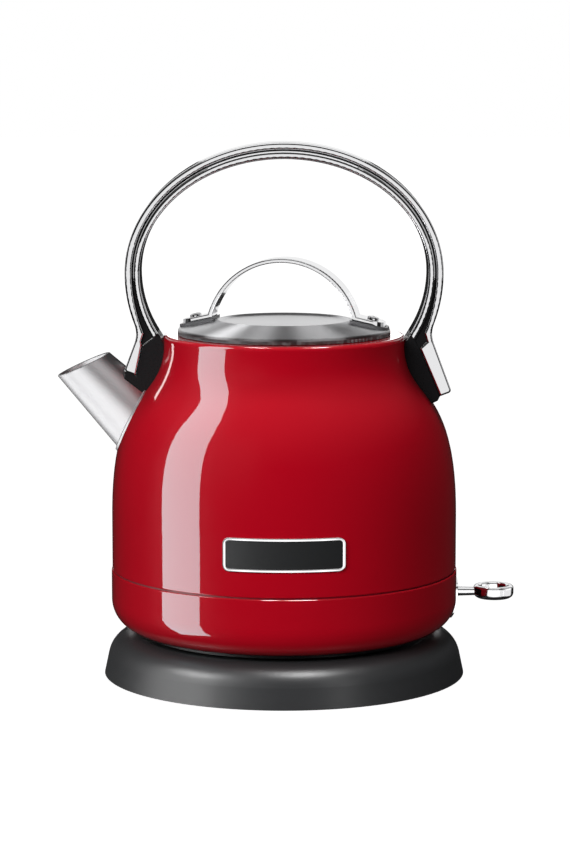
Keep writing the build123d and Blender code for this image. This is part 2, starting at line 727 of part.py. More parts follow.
def element_terminals():
    """The pins that stand out of the element's two ends."""
    pin = Rot(90, 0, 0) * Cylinder(TERMINAL_RADIUS, TERMINAL_LENGTH, align=STANDING)
    first = Rot(0, 0, ELEMENT_OPENING / 2) * Pos(ELEMENT_CIRCLE, 0, element_height()) * pin
    return group([first, mirror(first, Plane.XZ)])


def control_unit():
    """The control's housing, with the socket from below and two ears for the trip lever."""
    unit = turned(
        (SOCKET_RADIUS, COVER_TOP),
        (CONTROL_RADIUS, COVER_TOP),
        (CONTROL_RADIUS, CONTROL_TOP),
        (0, CONTROL_TOP),
        (0, SOCKET_TOP),
        (SOCKET_RADIUS, SOCKET_TOP),
    )
    inner = LEVER_ARM_WIDTH / 2 + FREE
    low = LEVER_HEIGHT - TRIP_BOSS_RADIUS - EAR_WALL
    high = LEVER_HEIGHT + TRIP_PIN_RADIUS + EAR_WALL / 2
    ear_end = TRIP_X + TRIP_BOSS_RADIUS
    ears = block(CONTROL_RADIUS - EAR_WALL, ear_end, inner + EAR_WALL, low, high)
    ears -= block(CONTROL_RADIUS - EAR_WALL, ear_end + 1, inner, low - 1, high + 1)
    ears -= cross_pin(TRIP_PIN_RADIUS + FIT, 4 * CONTROL_RADIUS, TRIP_X, LEVER_HEIGHT)
    return unit + ears


def bimetal_discs():
    """Two snap discs under the spreader and one on the control's side, towards the steam tube."""
    flat = BIMETAL_RADIUS / 3
    dome = turned(
        (0, BIMETAL_DOME),
        (flat, BIMETAL_DOME),
        (BIMETAL_RADIUS, 0),
        (BIMETAL_RADIUS, BIMETAL_THICKNESS),
        (flat, BIMETAL_DOME + BIMETAL_THICKNESS),
        (0, BIMETAL_DOME + BIMETAL_THICKNESS),
    )
    apart = BIMETAL_RADIUS * 1.5
    top = [Pos(0, side * apart, CONTROL_TOP) * dome for side in (-1, 1)]
    side = Pos(CONTROL_RADIUS, 0, (COVER_TOP + CONTROL_TOP) / 2) * Rot(0, 90, 0) * dome
    return group(top + [Rot(0, 0, 2 * STEAM_TUBE_ANGLE) * side])


def steam_place():
    """Where the steam tube stands."""
    return Rot(0, 0, STEAM_TUBE_ANGLE) * Pos(STEAM_TUBE_CIRCLE, 0, 0)


def steam_tube():
    """The tube that leads steam from over the water down to the control."""
    top = FLOOR_TOP + STEAM_TUBE_RISE
    bore = STEAM_TUBE_RADIUS - STEAM_TUBE_WALL
    tube = turned(
        (bore, FLOOR_LOW - STEAM_TUBE_TAIL),
        (STEAM_TUBE_RADIUS, FLOOR_LOW - STEAM_TUBE_TAIL),
        (STEAM_TUBE_RADIUS, top, STEAM_TUBE_WALL),
        (0, top),
        (0, top - STEAM_TUBE_WALL),
        (bore, top - STEAM_TUBE_WALL),
    )
    window = (4 * STEAM_TUBE_RADIUS, STEAM_WINDOW_WIDTH, STEAM_WINDOW_HEIGHT)
    tube -= Pos(0, 0, top - 2 * STEAM_TUBE_WALL - STEAM_WINDOW_HEIGHT / 2) * Box(*window)
    return steam_place() * tube


# Switch


def lever_slot():
    """The slot in the housing and escutcheon that the lever's stem moves in."""
    swing = (HOUSING_RADIUS - PIVOT_X) * sin(radians(LEVER_TRAVEL))
    half = STEM_RADIUS + FREE
    low = LEVER_HEIGHT - half - swing
    return block(PIVOT_X + half, HOUSING_RADIUS + half, half, low, LEVER_HEIGHT + half)


def switch_lever():
    """The lever: a finger ring and stem outside, a hub on the pin and an arm to the trip lever."""
    half = RING_HEIGHT / 2
    loop = turned(
        (RING_HOLE, -half, RING_ROUNDING),
        (RING_RADIUS, -half, RING_OUTER_ROUNDING),
        (RING_RADIUS, half, RING_ROUNDING),
        (RING_HOLE, half, RING_ROUNDING),
    )
    stem_length = RING_X - (RING_HOLE + RING_RADIUS) / 2 - PIVOT_X
    stem = Rot(0, 90, 0) * Cone(STEM_RADIUS, STEM_TIP_RADIUS, stem_length, align=STANDING)
    lever = Pos(RING_X, 0, LEVER_HEIGHT) * loop + Pos(PIVOT_X, 0, LEVER_HEIGHT) * stem
    lever += cross_pin(LEVER_BOSS_RADIUS, LEVER_BOSS_WIDTH, PIVOT_X, LEVER_HEIGHT)
    thick = LEVER_ARM_HEIGHT / 2
    lever += block(LEVER_TIP_X, PIVOT_X, LEVER_ARM_WIDTH / 2, LEVER_HEIGHT - thick, LEVER_HEIGHT + thick)
    lever += cross_pin(LEVER_TIP_RADIUS, LEVER_ARM_WIDTH, LEVER_TIP_X, LEVER_HEIGHT)
    return lever - cross_pin(LEVER_PIN_RADIUS + RUNNING, 2 * LEVER_BOSS_WIDTH, PIVOT_X, LEVER_HEIGHT)


def lever_cradle():
    """A clip on the housing's inside wall with two ears for the lever's pin."""
    inner = LEVER_BOSS_WIDTH / 2 + FREE
    outer = inner + EAR_WALL
    start = PIVOT_X - CRADLE_LENGTH
    low = LEVER_HEIGHT - CRADLE_DROP - EAR_WALL
    cradle = block(start, HOUSING_RADIUS, outer, low, LEVER_HEIGHT + CRADLE_RISE)
    cradle -= block(start - 1, HOUSING_RADIUS + 1, inner, low + EAR_WALL, LEVER_HEIGHT + CRADLE_RISE + 1)
    cradle &= housing_form(-HOUSING_WALL - FIT)
    return cradle - cross_pin(LEVER_PIN_RADIUS + FIT, 4 * outer, PIVOT_X, LEVER_HEIGHT)


def lever_pin():
    """The pin that the switch lever turns on."""
    length = LEVER_BOSS_WIDTH + 2 * FREE + 2 * EAR_WALL
    return cross_pin(LEVER_PIN_RADIUS, length, PIVOT_X, LEVER_HEIGHT)


def trip_lever():
    """The rocker that the lever's arm works, with a fork round the arm's tip."""
    half = TRIP_HEIGHT / 2
    slot = LEVER_TIP_RADIUS + FREE
    fork = slot + FORK_WALL
    end = LEVER_TIP_X + FORK_OVERHANG
    face = Pos(TRIP_X, LEVER_HEIGHT) * Circle(TRIP_BOSS_RADIUS)
    face += Pos((TRIP_X + end) / 2, LEVER_HEIGHT) * Rectangle(end - TRIP_X, 2 * half)
    face += Pos(end - FORK_LENGTH / 2, LEVER_HEIGHT) * Rectangle(FORK_LENGTH, 2 * fork)
    face -= Pos(end, LEVER_HEIGHT) * Rectangle(2 * (FORK_OVERHANG + slot), 2 * slot)
    face -= Pos(TRIP_X, LEVER_HEIGHT) * Circle(TRIP_PIN_RADIUS + RUNNING)
    return slab(face, LEVER_ARM_WIDTH)


def trip_pin():
    """The pin that the trip lever rocks on."""
    return cross_pin(TRIP_PIN_RADIUS, LEVER_ARM_WIDTH + 2 * FREE + 2 * EAR_WALL, TRIP_X, LEVER_HEIGHT)


def side_tile(width, height, corner, middle):
    """A rounded bar along X on the lever's side, as tall as height about middle."""
    face = RectangleRounded(width, height, corner)
    return Pos(HOUSING_RADIUS / 2, 0, middle) * (Plane.YZ * extrude(face, HOUSING_RADIUS))


def lens_bore():
    """The hole for the indicator lens."""
    bore = Rot(0, 90, 0) * Cylinder(LENS_RADIUS + FIT, HOUSING_RADIUS, align=STANDING)
    return Pos(HOUSING_RADIUS / 2, 0, UNDERSIDE + LENS_RISE) * bore


def lever_escutcheon():
    """The trim plate round the lever's slot, bent to the housing."""
    middle = UNDERSIDE + ESCUTCHEON_LOW + ESCUTCHEON_HEIGHT / 2
    tile = side_tile(ESCUTCHEON_WIDTH, ESCUTCHEON_HEIGHT, ESCUTCHEON_CORNER, middle)
    plate = (housing_form(ESCUTCHEON_PROUD) - housing_form(RUNNING)) & tile
    return plate - lever_slot() - lens_bore()


def indicator_lens():
    """A small clear rod that shows through the escutcheon."""
    rod = Rot(0, 90, 0) * Cylinder(LENS_RADIUS, HOUSING_RADIUS, align=STANDING)
    rod = Pos(HOUSING_RADIUS / 2, 0, UNDERSIDE + LENS_RISE) * rod
    skin = housing_form(ESCUTCHEON_PROUD + LENS_PROUD) - housing_form(LENS_PROUD - LENS_LENGTH)
    return rod & skin


# Spout and filter


def spout():
    """A tapered tube through the wall, cut at a slant across its mouth."""
    tube = spout_form(0) - spout_form(-SPOUT_WALL, SPOUT_LENGTH + 1)
    tilt = radians(SPOUT_LIP_TILT)
    lip = Plane(spout_plane().origin, z_dir=(-sin(tilt), 0, cos(tilt)))
    tube = split(tube, lip, keep=Keep.BOTTOM)
    mouth = tube.faces().filter_by(lip)[-1]
    return fillet(mouth.edges(), SPOUT_LIP_ROUNDING)


def spout_bead():
    """The raised bead where the spout meets the body."""
    bead = spout_form(SPOUT_BEAD) & body_form(SPOUT_BEAD_PROUD)
    return bead - body_form(RUNNING) - spout_form(RUNNING, SPOUT_LENGTH + 1)


def filter_plane():
    """The inner end of the spout, with Y up the slope that the filter slides along."""
    return spout_plane().offset(SPOUT_LENGTH)


def plate_on_filter(width, height, low, high):
    """A rectangular plate across the spout's inner end, between two depths."""
    return Pos(0, 0, low) * Box(width, height, high - low, align=STANDING)


def filter_depths():
    """The depths of the filter's two faces behind the spout's inner end."""
    return GUIDE_WALL + FREE, GUIDE_WALL + FREE + FILTER_THICKNESS


def filter_guide():
    """A plate on the spout's inner end, with rails at its sides and a stop below."""
    depth = filter_depths()[1] + FREE + GUIDE_WALL
    guide = plate_on_filter(GUIDE_WIDTH, GUIDE_HEIGHT, 0, depth)
    room = GUIDE_WIDTH - 2 * GUIDE_WALL
    inside = plate_on_filter(room, GUIDE_HEIGHT, GUIDE_WALL, depth - GUIDE_WALL)
    guide -= Pos(0, GUIDE_WALL, 0) * inside
    guide -= plate_on_filter(room - 2 * RAIL_LIP, 2 * GUIDE_HEIGHT, depth - 2 * GUIDE_WALL, depth + 1)
    guide -= disc(SPOUT_RADIUS + SPOUT_LENGTH * tan(radians(SPOUT_TAPER)) - SPOUT_WALL, -1, GUIDE_WALL + 1)
    return filter_plane() * guide


def filter_size():
    """The filter frame's width and height inside the guide."""
    return GUIDE_WIDTH - 2 * GUIDE_WALL - 2 * FREE, GUIDE_HEIGHT - GUIDE_WALL - FREE


def filter_frame():
    """A flat frame with a finger tab, which slides up out of the guide."""
    width, height = filter_size()
    low, high = filter_depths()
    lift = (GUIDE_WALL + FREE) / 2
    frame = plate_on_filter(width, height, low, high)
    frame -= plate_on_filter(width - 2 * FILTER_BORDER, height - 2 * FILTER_BORDER, low - 1, high + 1)
    tab = plate_on_filter(FILTER_TAB_WIDTH, FILTER_TAB, low, high)
    frame += Pos(0, (height + FILTER_TAB) / 2, 0) * tab
    return filter_plane() * Pos(0, lift, 0) * frame


def filter_mesh():
    """The strainer in the frame: one sheet with square gaps."""
    width, height = filter_size()
    window = (width - 2 * FILTER_BORDER - 2 * FIT, height - 2 * FILTER_BORDER - 2 * FIT)
    pitch = [size / MESH_COUNT for size in window]
    gap = Rectangle(pitch[0] - MESH_WEB, pitch[1] - MESH_WEB)
    sheet = Rectangle(*window) - GridLocations(*pitch, MESH_COUNT, MESH_COUNT) * gap
    low, high = filter_depths()
    middle = (low + high - MESH_WALL) / 2
    return filter_plane() * Pos(0, (GUIDE_WALL + FREE) / 2, middle) * extrude(sheet, MESH_WALL)


# Handle


def hoop(inset_side, inset_top, inset_leg):
    """The inside of the hoop's outline, drawn in at its sides, at its top and along its legs."""
    half = HOOP_HALF_WIDTH - inset_side
    large = 4 * HOOP_HALF_WIDTH
    upper = Pos(0, large / 2) * Rectangle(large, large)
    lower = Pos(0, -large / 2) * Rectangle(large, large)
    arch = Ellipse(half, HOOP_ARCH - inset_top) & upper
    legs = Ellipse(half, HOOP_LEGS - inset_leg) & lower
    return Pos(0, HOOP_CENTRE) * (arch + legs)


def leg_edge(outline):
    """Half the width of such an outline where the bands end."""
    inset_side, _, inset_leg = outline
    share = (HOOP_CENTRE - BAND_LOW) / (HOOP_LEGS - inset_leg)
    return (HOOP_HALF_WIDTH - inset_side) * sqrt(1 - share**2)


HOOP_OUTSIDE = (0, 0, 0)
CORE_OUTSIDE = (OUTER_BAND, OUTER_BAND, OUTER_BAND - BAND_TAPER)
CORE_INSIDE = (OUTER_BAND + CORE_STRIP, OUTER_BAND + CORE_STRIP, OUTER_BAND + CORE_STRIP + CORE_SPREAD)
INNER_BAND_INSIDE = tuple(
    core + INNER_BAND + extra for core, extra in zip(CORE_INSIDE, (0, INNER_BAND_CROWN, INNER_BAND_CROWN))
)


def tail_corners(length, root):
    """Corners of the outer band's tail on the +X side, from its inner top round to its outer top."""
    down = Vector(sin(radians(TAIL_ANGLE)), -cos(radians(TAIL_ANGLE)))
    inward = Vector(-cos(radians(TAIL_ANGLE)), -sin(radians(TAIL_ANGLE)))
    outer = Vector(leg_edge(HOOP_OUTSIDE), BAND_LOW)
    inner = Vector(leg_edge(CORE_OUTSIDE), BAND_LOW)
    neck = outer + down * TAIL_NECK + inward * TAIL_NECK_THICKNESS
    step = outer + down * TAIL_SHOULDER + inward * root
    end = outer + down * length
    return inner, neck, step, end + inward * TAIL_THICKNESS, end, outer


def bracket_top(length, root):
    """The slanting top of a bracket on the +X side, from the body out to the tail."""
    step = tail_corners(length, root)[2]
    return Vector(leg_edge(INNER_BAND_INSIDE), BAND_LOW), step


def over_brackets():
    """All that lies above the brackets' tops, as a face."""
    high = Vector(0, HOOP_CENTRE + 2 * HOOP_ARCH)
    wide = Vector(2 * HOOP_HALF_WIDTH, 0)
    inner, outer = bracket_top(REAR_TAIL, REAR_ROOT)
    rear = [Vector(0, inner.Y), inner, outer, outer + wide, high + wide, high]
    inner, outer = bracket_top(FRONT_TAIL, FRONT_ROOT)
    front = [Vector(0, inner.Y), inner, outer, outer + wide, high + wide, high]
    half = make_face(Polyline(*rear, close=True))
    return half + mirror(make_face(Polyline(*front, close=True)), Plane.YZ)


def tail(length, root):
    """The outer band's tail on the +X side, as a face."""
    return make_face(Polyline(*tail_corners(length, root), close=True))


def between_tails(length, root):
    """The place beside a tail's neck on the +X side, as a face that reaches in past the inner band."""
    inner, neck, step = tail_corners(length, root)[:3]
    return make_face(Polyline(Vector(0, inner.Y), inner, neck, step, close=True))


def cross_edges(solid, corner, side):
    """The edges of a slab along Y at a corner (x, z); side is +1 or -1 along X."""
    place = Vector(side * corner.X, 0, corner.Y)
    edges = solid.edges().filter_by(Axis.Y)
    return [edge for edge in edges if (edge.center() - place).length < FIT]


def handle_outer_band():
    """The outer band of the hoop, with a tail screwed to each bracket."""
    above = Pos(0, BAND_LOW + HOOP_ARCH) * Rectangle(4 * HOOP_HALF_WIDTH, 2 * HOOP_ARCH)
    face = (hoop(*HOOP_OUTSIDE) - hoop(*CORE_OUTSIDE)) & above
    face += tail(REAR_TAIL, REAR_ROOT) + mirror(tail(FRONT_TAIL, FRONT_ROOT), Plane.YZ)
    solid = slab(face, HOOP_DEPTH)
    rear_end, waist = tail_corners(REAR_TAIL, REAR_ROOT)[-2:]
    front_end = tail_corners(FRONT_TAIL, FRONT_ROOT)[-2]
    solid = fillet(cross_edges(solid, waist, 1) + cross_edges(solid, waist, -1), TAIL_WAIST)
    solid = fillet(cross_edges(solid, rear_end, 1) + cross_edges(solid, front_end, -1), TAIL_END_ROUNDING)
    solid = fillet(side_edges(solid), BAND_ROUNDING) - spout_form(FIT)
    return cut_all(solid, [screw_shape(FIT, place) for place in screw_places()])


def handle_inner_band():
    """The inner band of the hoop, whose ends stand on the brackets."""
    solid = slab(hoop(*CORE_INSIDE) - hoop(*INNER_BAND_INSIDE), HOOP_DEPTH)
    return fillet(side_edges(solid), INNER_BAND_ROUNDING) & slab(over_brackets(), 2 * HOOP_DEPTH)


def handle_core():
    """The dark strip between the bands, which spreads between the tails' necks and the inner band."""
    face = hoop(*CORE_OUTSIDE) + between_tails(REAR_TAIL, REAR_ROOT)
    face += mirror(between_tails(FRONT_TAIL, FRONT_ROOT), Plane.YZ)
    return slab((face - hoop(*CORE_INSIDE)) & over_brackets(), HOOP_DEPTH - 2 * CORE_RECESS)


def tail_plane(side):
    """The outer face of a tail where its screw goes in, with Z inwards; side is +1 or -1 along X."""
    angle = radians(TAIL_ANGLE)
    x = leg_edge(HOOP_OUTSIDE) + HANDLE_SCREW_PLACE * sin(angle)
    z = BAND_LOW - HANDLE_SCREW_PLACE * cos(angle)
    return Plane((side * x, 0, z), x_dir=(0, 1, 0), z_dir=(-side * cos(angle), 0, -sin(angle)))


def screw_places():
    """The two tails' screw places."""
    return [tail_plane(1), tail_plane(-1)]


def screw_shape(grow, place):
    """A countersunk screw in a tail, grown all round."""
    head = HANDLE_SCREW_HEAD + grow
    shank = HANDLE_SCREW_RADIUS + grow
    drop = HANDLE_SCREW_HEAD - HANDLE_SCREW_RADIUS
    length = HANDLE_SCREW_LENGTH + grow
    return place * turned((0, 0), (head, 0), (shank, drop), (shank, length), (0, length))


def handle_screws():
    """One countersunk screw through each tail into its bracket."""
    return group([screw_shape(0, place) for place in screw_places()])


def bracket_studs():
    """Studs on the neck that hold the brackets."""
    bar = Cylinder(BRACKET_STUD_RADIUS, NECK_RADIUS + BRACKET_STUD_LENGTH, align=STANDING)
    stud = Pos(0, 0, BODY_TOP - BRACKET_STUD_DROP) * Rot(0, 90, 0) * bar - body_form(RUNNING)
    return group([stud, mirror(stud, Plane.YZ)])


def stud_bores():
    """Holes for the studs, to both sides."""
    bar = Cylinder(BRACKET_STUD_RADIUS + FIT, 2 * (NECK_RADIUS + BRACKET_STUD_LENGTH + FREE))
    return Pos(0, 0, BODY_TOP - BRACKET_STUD_DROP) * Rot(0, 90, 0) * bar


def bracket(corners):
    """A bracket from its corners beside the tail, cut to the body, stud and screws."""
    deep = NECK_RADIUS - BODY_WALL
    top = leg_edge(INNER_BAND_INSIDE)
    outline = [Vector(deep, NECK_TOP), Vector(top, BAND_LOW)] + corners + [Vector(deep, corners[-1].Y)]
    solid = slab(make_face(Polyline(*outline, close=True)), BRACKET_DEPTH)
    solid = fillet(side_edges(solid), BRACKET_ROUNDING) - body_form(FIT) - stud_bores()
    return solid - screw_shape(FIT, tail_plane(1))


def handle_bracket_rear():
    """The black bracket on the lever's side."""
    step, low = tail_corners(REAR_TAIL, REAR_ROOT)[2:4]
    heel = low + Vector(-BRACKET_HEEL / 4, -BRACKET_HEEL / 2)
    toe = heel + Vector(-BRACKET_HEEL, -BRACKET_HEEL / 2)
    return bracket([step, low, heel, toe])


def handle_bracket_front():
    """The black bracket on the spout's side, saddled on the spout and closing the tail's end."""
    step, low, end = tail_corners(FRONT_TAIL, FRONT_ROOT)[2:5]
    toe = end + Vector(FREE, -SADDLE_TOE)
    heel = low + Vector(-TAIL_THICKNESS / 2, -SADDLE_DROP + TAIL_THICKNESS / 2)
    bead = spout_form(SPOUT_BEAD + FIT) & body_form(SPOUT_BEAD_PROUD + FIT)
    return mirror(bracket([step, low, end, toe, heel]), Plane.YZ) - spout_form(FIT) - bead


# Badge


def badge_tile(inset):
    """A rounded bar through the front wall, as large as the badge less an inset."""
    face = RectangleRounded(BADGE_WIDTH - 2 * inset, BADGE_HEIGHT - 2 * inset, BADGE_CORNER - inset)
    bar = extrude(Plane.XZ * face, amount=2 * BODY_RADIUS)
    return Pos(0, 0, BODY_LOW + BADGE_RISE) * bar


def badge_skin(proud):
    """A thin skin on the body's straight wall."""
    middle = BODY_LOW + BADGE_RISE
    return ring(BODY_RADIUS + RUNNING, BODY_RADIUS + proud, middle - BADGE_HEIGHT, middle + BADGE_HEIGHT)


def badge_frame():
    """The chrome border of the badge."""
    frame = (badge_skin(BADGE_PROUD) & badge_tile(0)) - badge_tile(BADGE_FRAME)
    front = frame.faces().sort_by(Axis.Y)[0]
    return fillet(front.edges(), BADGE_ROUNDING)


def badge_plate():
    """The bare field of the badge."""
    return badge_skin(BADGE_PLATE_PROUD) & badge_tile(BADGE_FRAME + RUNNING)


# Lid


def lid_height(radius):
    """The height of the lid's sloping face at a radius."""
    return LID_SHOULDER + (LID_RADIUS - radius) * tan(radians(LID_SLOPE))


def lid_form(inset):
    """The lid's outside, filled to the axis and drawn in by inset."""
    step = LID_TOP_RADIUS - LID_STEP_WIDTH
    top = lid_height(LID_TOP_RADIUS) - inset
    rounding = max(LID_SHOULDER_RADIUS - inset, LID_SHOULDER_RADIUS / 4)
    side = LID_RADIUS - inset
    return turned(
        (0, LID_LOW),
        (side, LID_LOW),
        (side, lid_height(side) - inset, rounding),
        (LID_TOP_RADIUS, top, LID_STEP_DEPTH / 2),
        (step, top - LID_STEP_DEPTH, LID_STEP_DEPTH / 2),
        (0, top - LID_STEP_DEPTH),
    )


def lid_screw_plane(side, radius=LID_SCREW_PLACE):
    """The lid's sloping face at a screw, with Z square to it; side is +1 or -1 along X."""
    place = (side * radius, 0, lid_height(radius))
    upright = (side * sin(radians(LID_SLOPE)), 0, cos(radians(LID_SLOPE)))
    return Plane(place, x_dir=(0, 1, 0), z_dir=upright)


def lid_placed(piece):
    """A piece of the lid, turned as the lid was put down."""
    return Rot(0, 0, LID_TURN) * piece


def lid_screw_bores():
    """Holes for the two lid screws."""
    bore = Cylinder(LID_SCREW_RADIUS + FIT, 8 * (PAD_HEIGHT + STRAP_THICKNESS))
    return [lid_screw_plane(side) * bore for side in (-1, 1)]


def lid_cover():
    """The spun lid: a short side, a sloping face and a dished top."""
    return lid_placed(cut_all(lid_form(0) - lid_form(LID_WALL), lid_screw_bores()))


def lid_plug():
    """The cup under the lid that goes into the mouth, with a groove for the seal."""
    radius = MOUTH_RADIUS - PLUG_GAP
    bore = radius - PLUG_WALL
    floor = BODY_TOP - PLUG_DEPTH
    flange = LID_RADIUS - LID_WALL - FIT
    plug = turned(
        (0, floor),
        (radius, floor, PLUG_FLOOR),
        (radius, LID_LOW),
        (flange, LID_LOW),
        (flange, LID_LOW + PLUG_FLANGE),
        (bore, LID_LOW + PLUG_FLANGE),
        (bore, floor + PLUG_FLOOR),
        (0, floor + PLUG_FLOOR),
    )
    high = BODY_TOP - SEAL_DROP + FIT
    return lid_placed(plug - ring(radius - SEAL_SEAT, radius + 1, high - SEAL_HEIGHT - 2 * FIT, high))


def lid_seal():
    """The silicone ring in the plug's groove."""
    radius = MOUTH_RADIUS - PLUG_GAP
    high = BODY_TOP - SEAL_DROP
    lip = MOUTH_RADIUS - FREE
    return lid_placed(
        turned(
            (radius - SEAL_SEAT + FIT, high - SEAL_HEIGHT),
            (radius, high - SEAL_HEIGHT),
            (lip, high - SEAL_HEIGHT / 2, SEAL_HEIGHT / 8),
            (radius, high),
            (radius - SEAL_SEAT + FIT, high),
        )
    )


def strap_foot_outline(margin):
    """The plan of both strap feet, rounded at their ends and wider by a margin."""
    length = 2 * (STRAP_FOOT_END + margin)
    plan = RectangleRounded(length, STRAP_WIDTH + 2 * margin, STRAP_FOOT_CORNER + margin)
    return extrude(plan, 2 * (BODY_TOP + STRAP_RISE))


def strap_levels():
    """Heights over the sloping face of the strap foot's underside and top, measured upright."""
    upright = cos(radians(LID_SLOPE))
    return PAD_HEIGHT / upright, (PAD_HEIGHT + STRAP_THICKNESS) / upright


def strap_centre():
    """The height of the middle of the strap's arch."""
    return BODY_TOP + STRAP_RISE - STRAP_RADIUS


def strap_bend():
    """The radius on the lid where the arch's outside meets the foot's top."""
    top = strap_levels()[1]
    radius = STRAP_RADIUS
    for _ in range(8):
        rise = lid_height(radius) + top - strap_centre()
        radius = sqrt(STRAP_RADIUS**2 - rise**2)
    return radius


def lid_handle():
    """The strap: an arch with two feet that lie along the lid's slope."""
    low, high = strap_levels()
    bend = strap_bend()
    inner = bend - STRAP_THICKNESS
    end = STRAP_FOOT_END
    arch = Circle(STRAP_RADIUS) - Circle(STRAP_RADIUS - STRAP_THICKNESS)
    level = lid_height(bend) + high
    large = 4 * STRAP_RADIUS
    arch = Pos(0, strap_centre()) * arch & Pos(0, level + large / 2) * Rectangle(large, large)
    foot = make_face(
        Polyline(
            (inner, lid_height(inner) + low),
            (end, lid_height(end) + low),
            (end, lid_height(end) + high),
            (bend, level),
            (bend - STRAP_THICKNESS, level),
            close=True,
        )
    )
    strap = slab(arch + foot + mirror(foot, Plane.YZ), STRAP_WIDTH)
    strap = fillet(side_edges(strap), STRAP_ROUNDING) & strap_foot_outline(0)
    return lid_placed(cut_all(strap, lid_screw_bores()))


def lid_handle_pads():
    """The raised seats under the strap's feet."""
    low = strap_levels()[0]
    start = strap_bend() - STRAP_THICKNESS - PAD_MARGIN / 2
    end = STRAP_FOOT_END + PAD_MARGIN
    corners = [
        (start, lid_height(start) - PAD_HEIGHT),
        (end, lid_height(end) - PAD_HEIGHT),
        (end, lid_height(end) + low),
        (start, lid_height(start) + low),
    ]
    pad = slab(make_face(Polyline(*corners, close=True)), STRAP_WIDTH + 2 * PAD_MARGIN)
    pads = (pad + mirror(pad, Plane.YZ)) & strap_foot_outline(PAD_MARGIN)
    pads -= lid_form(0)
    return lid_placed(group([cut_all(pads, lid_screw_bores())]))


def lid_screws():
    """Dome-headed screws through the strap's feet."""
    seat = PAD_HEIGHT + STRAP_THICKNESS
    head = turned(
        (0, seat),
        (LID_SCREW_HEAD, seat),
        (LID_SCREW_HEAD, seat + LID_SCREW_DOME / 3),
        (LID_SCREW_HEAD / 2, seat + LID_SCREW_DOME, LID_SCREW_DOME),
        (0, seat + LID_SCREW_DOME),
    )
    screw = head + disc(LID_SCREW_RADIUS, -LID_WALL - LID_NUT_HEIGHT, seat)
    return lid_placed(group([lid_screw_plane(side) * screw for side in (-1, 1)]))


def lid_nuts():
    """Nuts under the lid."""
    top = -LID_WALL - FIT
    nut = Pos(0, 0, top - LID_NUT_HEIGHT) * extrude(RegularPolygon(LID_NUT_RADIUS, 6), LID_NUT_HEIGHT)
    nut -= disc(LID_SCREW_RADIUS + FIT, top - LID_NUT_HEIGHT - 1, top + 1)
    return lid_placed(group([lid_screw_plane(side) * nut for side in (-1, 1)]))


PIECES = (
    base_cover,
    base_plate,
    cord_grommet,
    base_feet,
    base_screws,
    base_tower,
    base_contacts,
    ring_contacts,
    lower_housing,
    seam_gasket,
    body_shell,
    mouth_ring,
    vessel_floor,
    bottom_cover,
    floor_studs,
    bottom_screws,
    heat_spreader,
    heating_element,
    element_terminals,
    control_unit,
    bimetal_discs,
    steam_tube,
    switch_lever,
    lever_cradle,
    lever_pin,
    trip_lever,
    trip_pin,
    lever_escutcheon,
    indicator_lens,
    spout,
    spout_bead,
    filter_guide,
    filter_frame,
    filter_mesh,
    handle_outer_band,
    handle_inner_band,
    handle_core,
    handle_screws,
    handle_bracket_rear,
    handle_bracket_front,
    bracket_studs,
    badge_frame,
    badge_plate,
    lid_cover,
    lid_plug,
    lid_seal,
    lid_handle,
    lid_handle_pads,
    lid_screws,
    lid_nuts,
)

os.makedirs("parts", exist_ok=True)
for piece in PIECES:
    export_step(piece(), f"parts/{piece.__name__}.step")
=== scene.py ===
import json
import math

import bpy
from bpy.props import FloatProperty, FloatVectorProperty, PointerProperty
from mathutils import Matrix, Vector


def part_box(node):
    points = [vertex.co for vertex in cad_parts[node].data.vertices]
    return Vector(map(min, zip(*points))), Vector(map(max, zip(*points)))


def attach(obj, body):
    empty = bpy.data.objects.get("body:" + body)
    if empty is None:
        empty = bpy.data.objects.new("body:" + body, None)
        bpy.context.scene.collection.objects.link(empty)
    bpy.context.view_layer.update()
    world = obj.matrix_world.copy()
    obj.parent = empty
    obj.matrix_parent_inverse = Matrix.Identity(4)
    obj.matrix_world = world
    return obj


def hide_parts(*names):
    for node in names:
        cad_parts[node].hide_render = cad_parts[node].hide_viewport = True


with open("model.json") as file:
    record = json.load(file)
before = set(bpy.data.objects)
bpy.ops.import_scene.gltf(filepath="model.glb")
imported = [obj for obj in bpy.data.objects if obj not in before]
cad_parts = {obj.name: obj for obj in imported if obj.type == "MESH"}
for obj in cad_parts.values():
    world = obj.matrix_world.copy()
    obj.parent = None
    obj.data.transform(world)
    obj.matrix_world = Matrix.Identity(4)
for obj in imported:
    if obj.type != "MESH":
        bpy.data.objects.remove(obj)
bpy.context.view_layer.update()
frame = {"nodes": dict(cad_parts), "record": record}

bl_info = {
    "name": "Electric kettle",
    "version": (1, 0, 0),
    "blender": (4, 5, 0),
    "location": "View3D > Sidebar > Kettle",
    "description": "Finishes, screws and studio for a cordless kettle on its power base",
    "category": "Object",
}

RECORD = frame["record"]
SLOT_OF_NODE = {part["node"]: part["material_slot"] for part in RECORD["subparts"]}
BODY_OF_NODE = {
    node: body for body, nodes in RECORD["behaviour"]["bodies"].items() for node in nodes
}

# The place that most lights face, in metres
MIDDLE = (0.0, 0.0, 0.1)

# Rows of the leaning panels: height in metres, then the azimuths of the left and right edges in degrees
STRIP_ROWS = (
    (-0.95, -84.0, -55.0),
    (0.0, -85.5, -55.5),
    (0.6, -87.5, -57.0),
    (1.0, -90.0, -58.0),
    (1.45, -96.0, -62.0),
    (2.0, -104.0, -71.0),
)
EDGE_ROWS = (
    (0.1515, -96.5, -92.5),
    (0.1535, -99.0, -94.5),
    (0.158, -100.0, -97.0),
)

# Pieces that the photograph doesn't show mirrored in the others
UNMIRRORED = (
    "spout",
    "spout_bead",
    "switch_lever",
    "lever_escutcheon",
    "handle_outer_band",
    "handle_bracket_front",
)

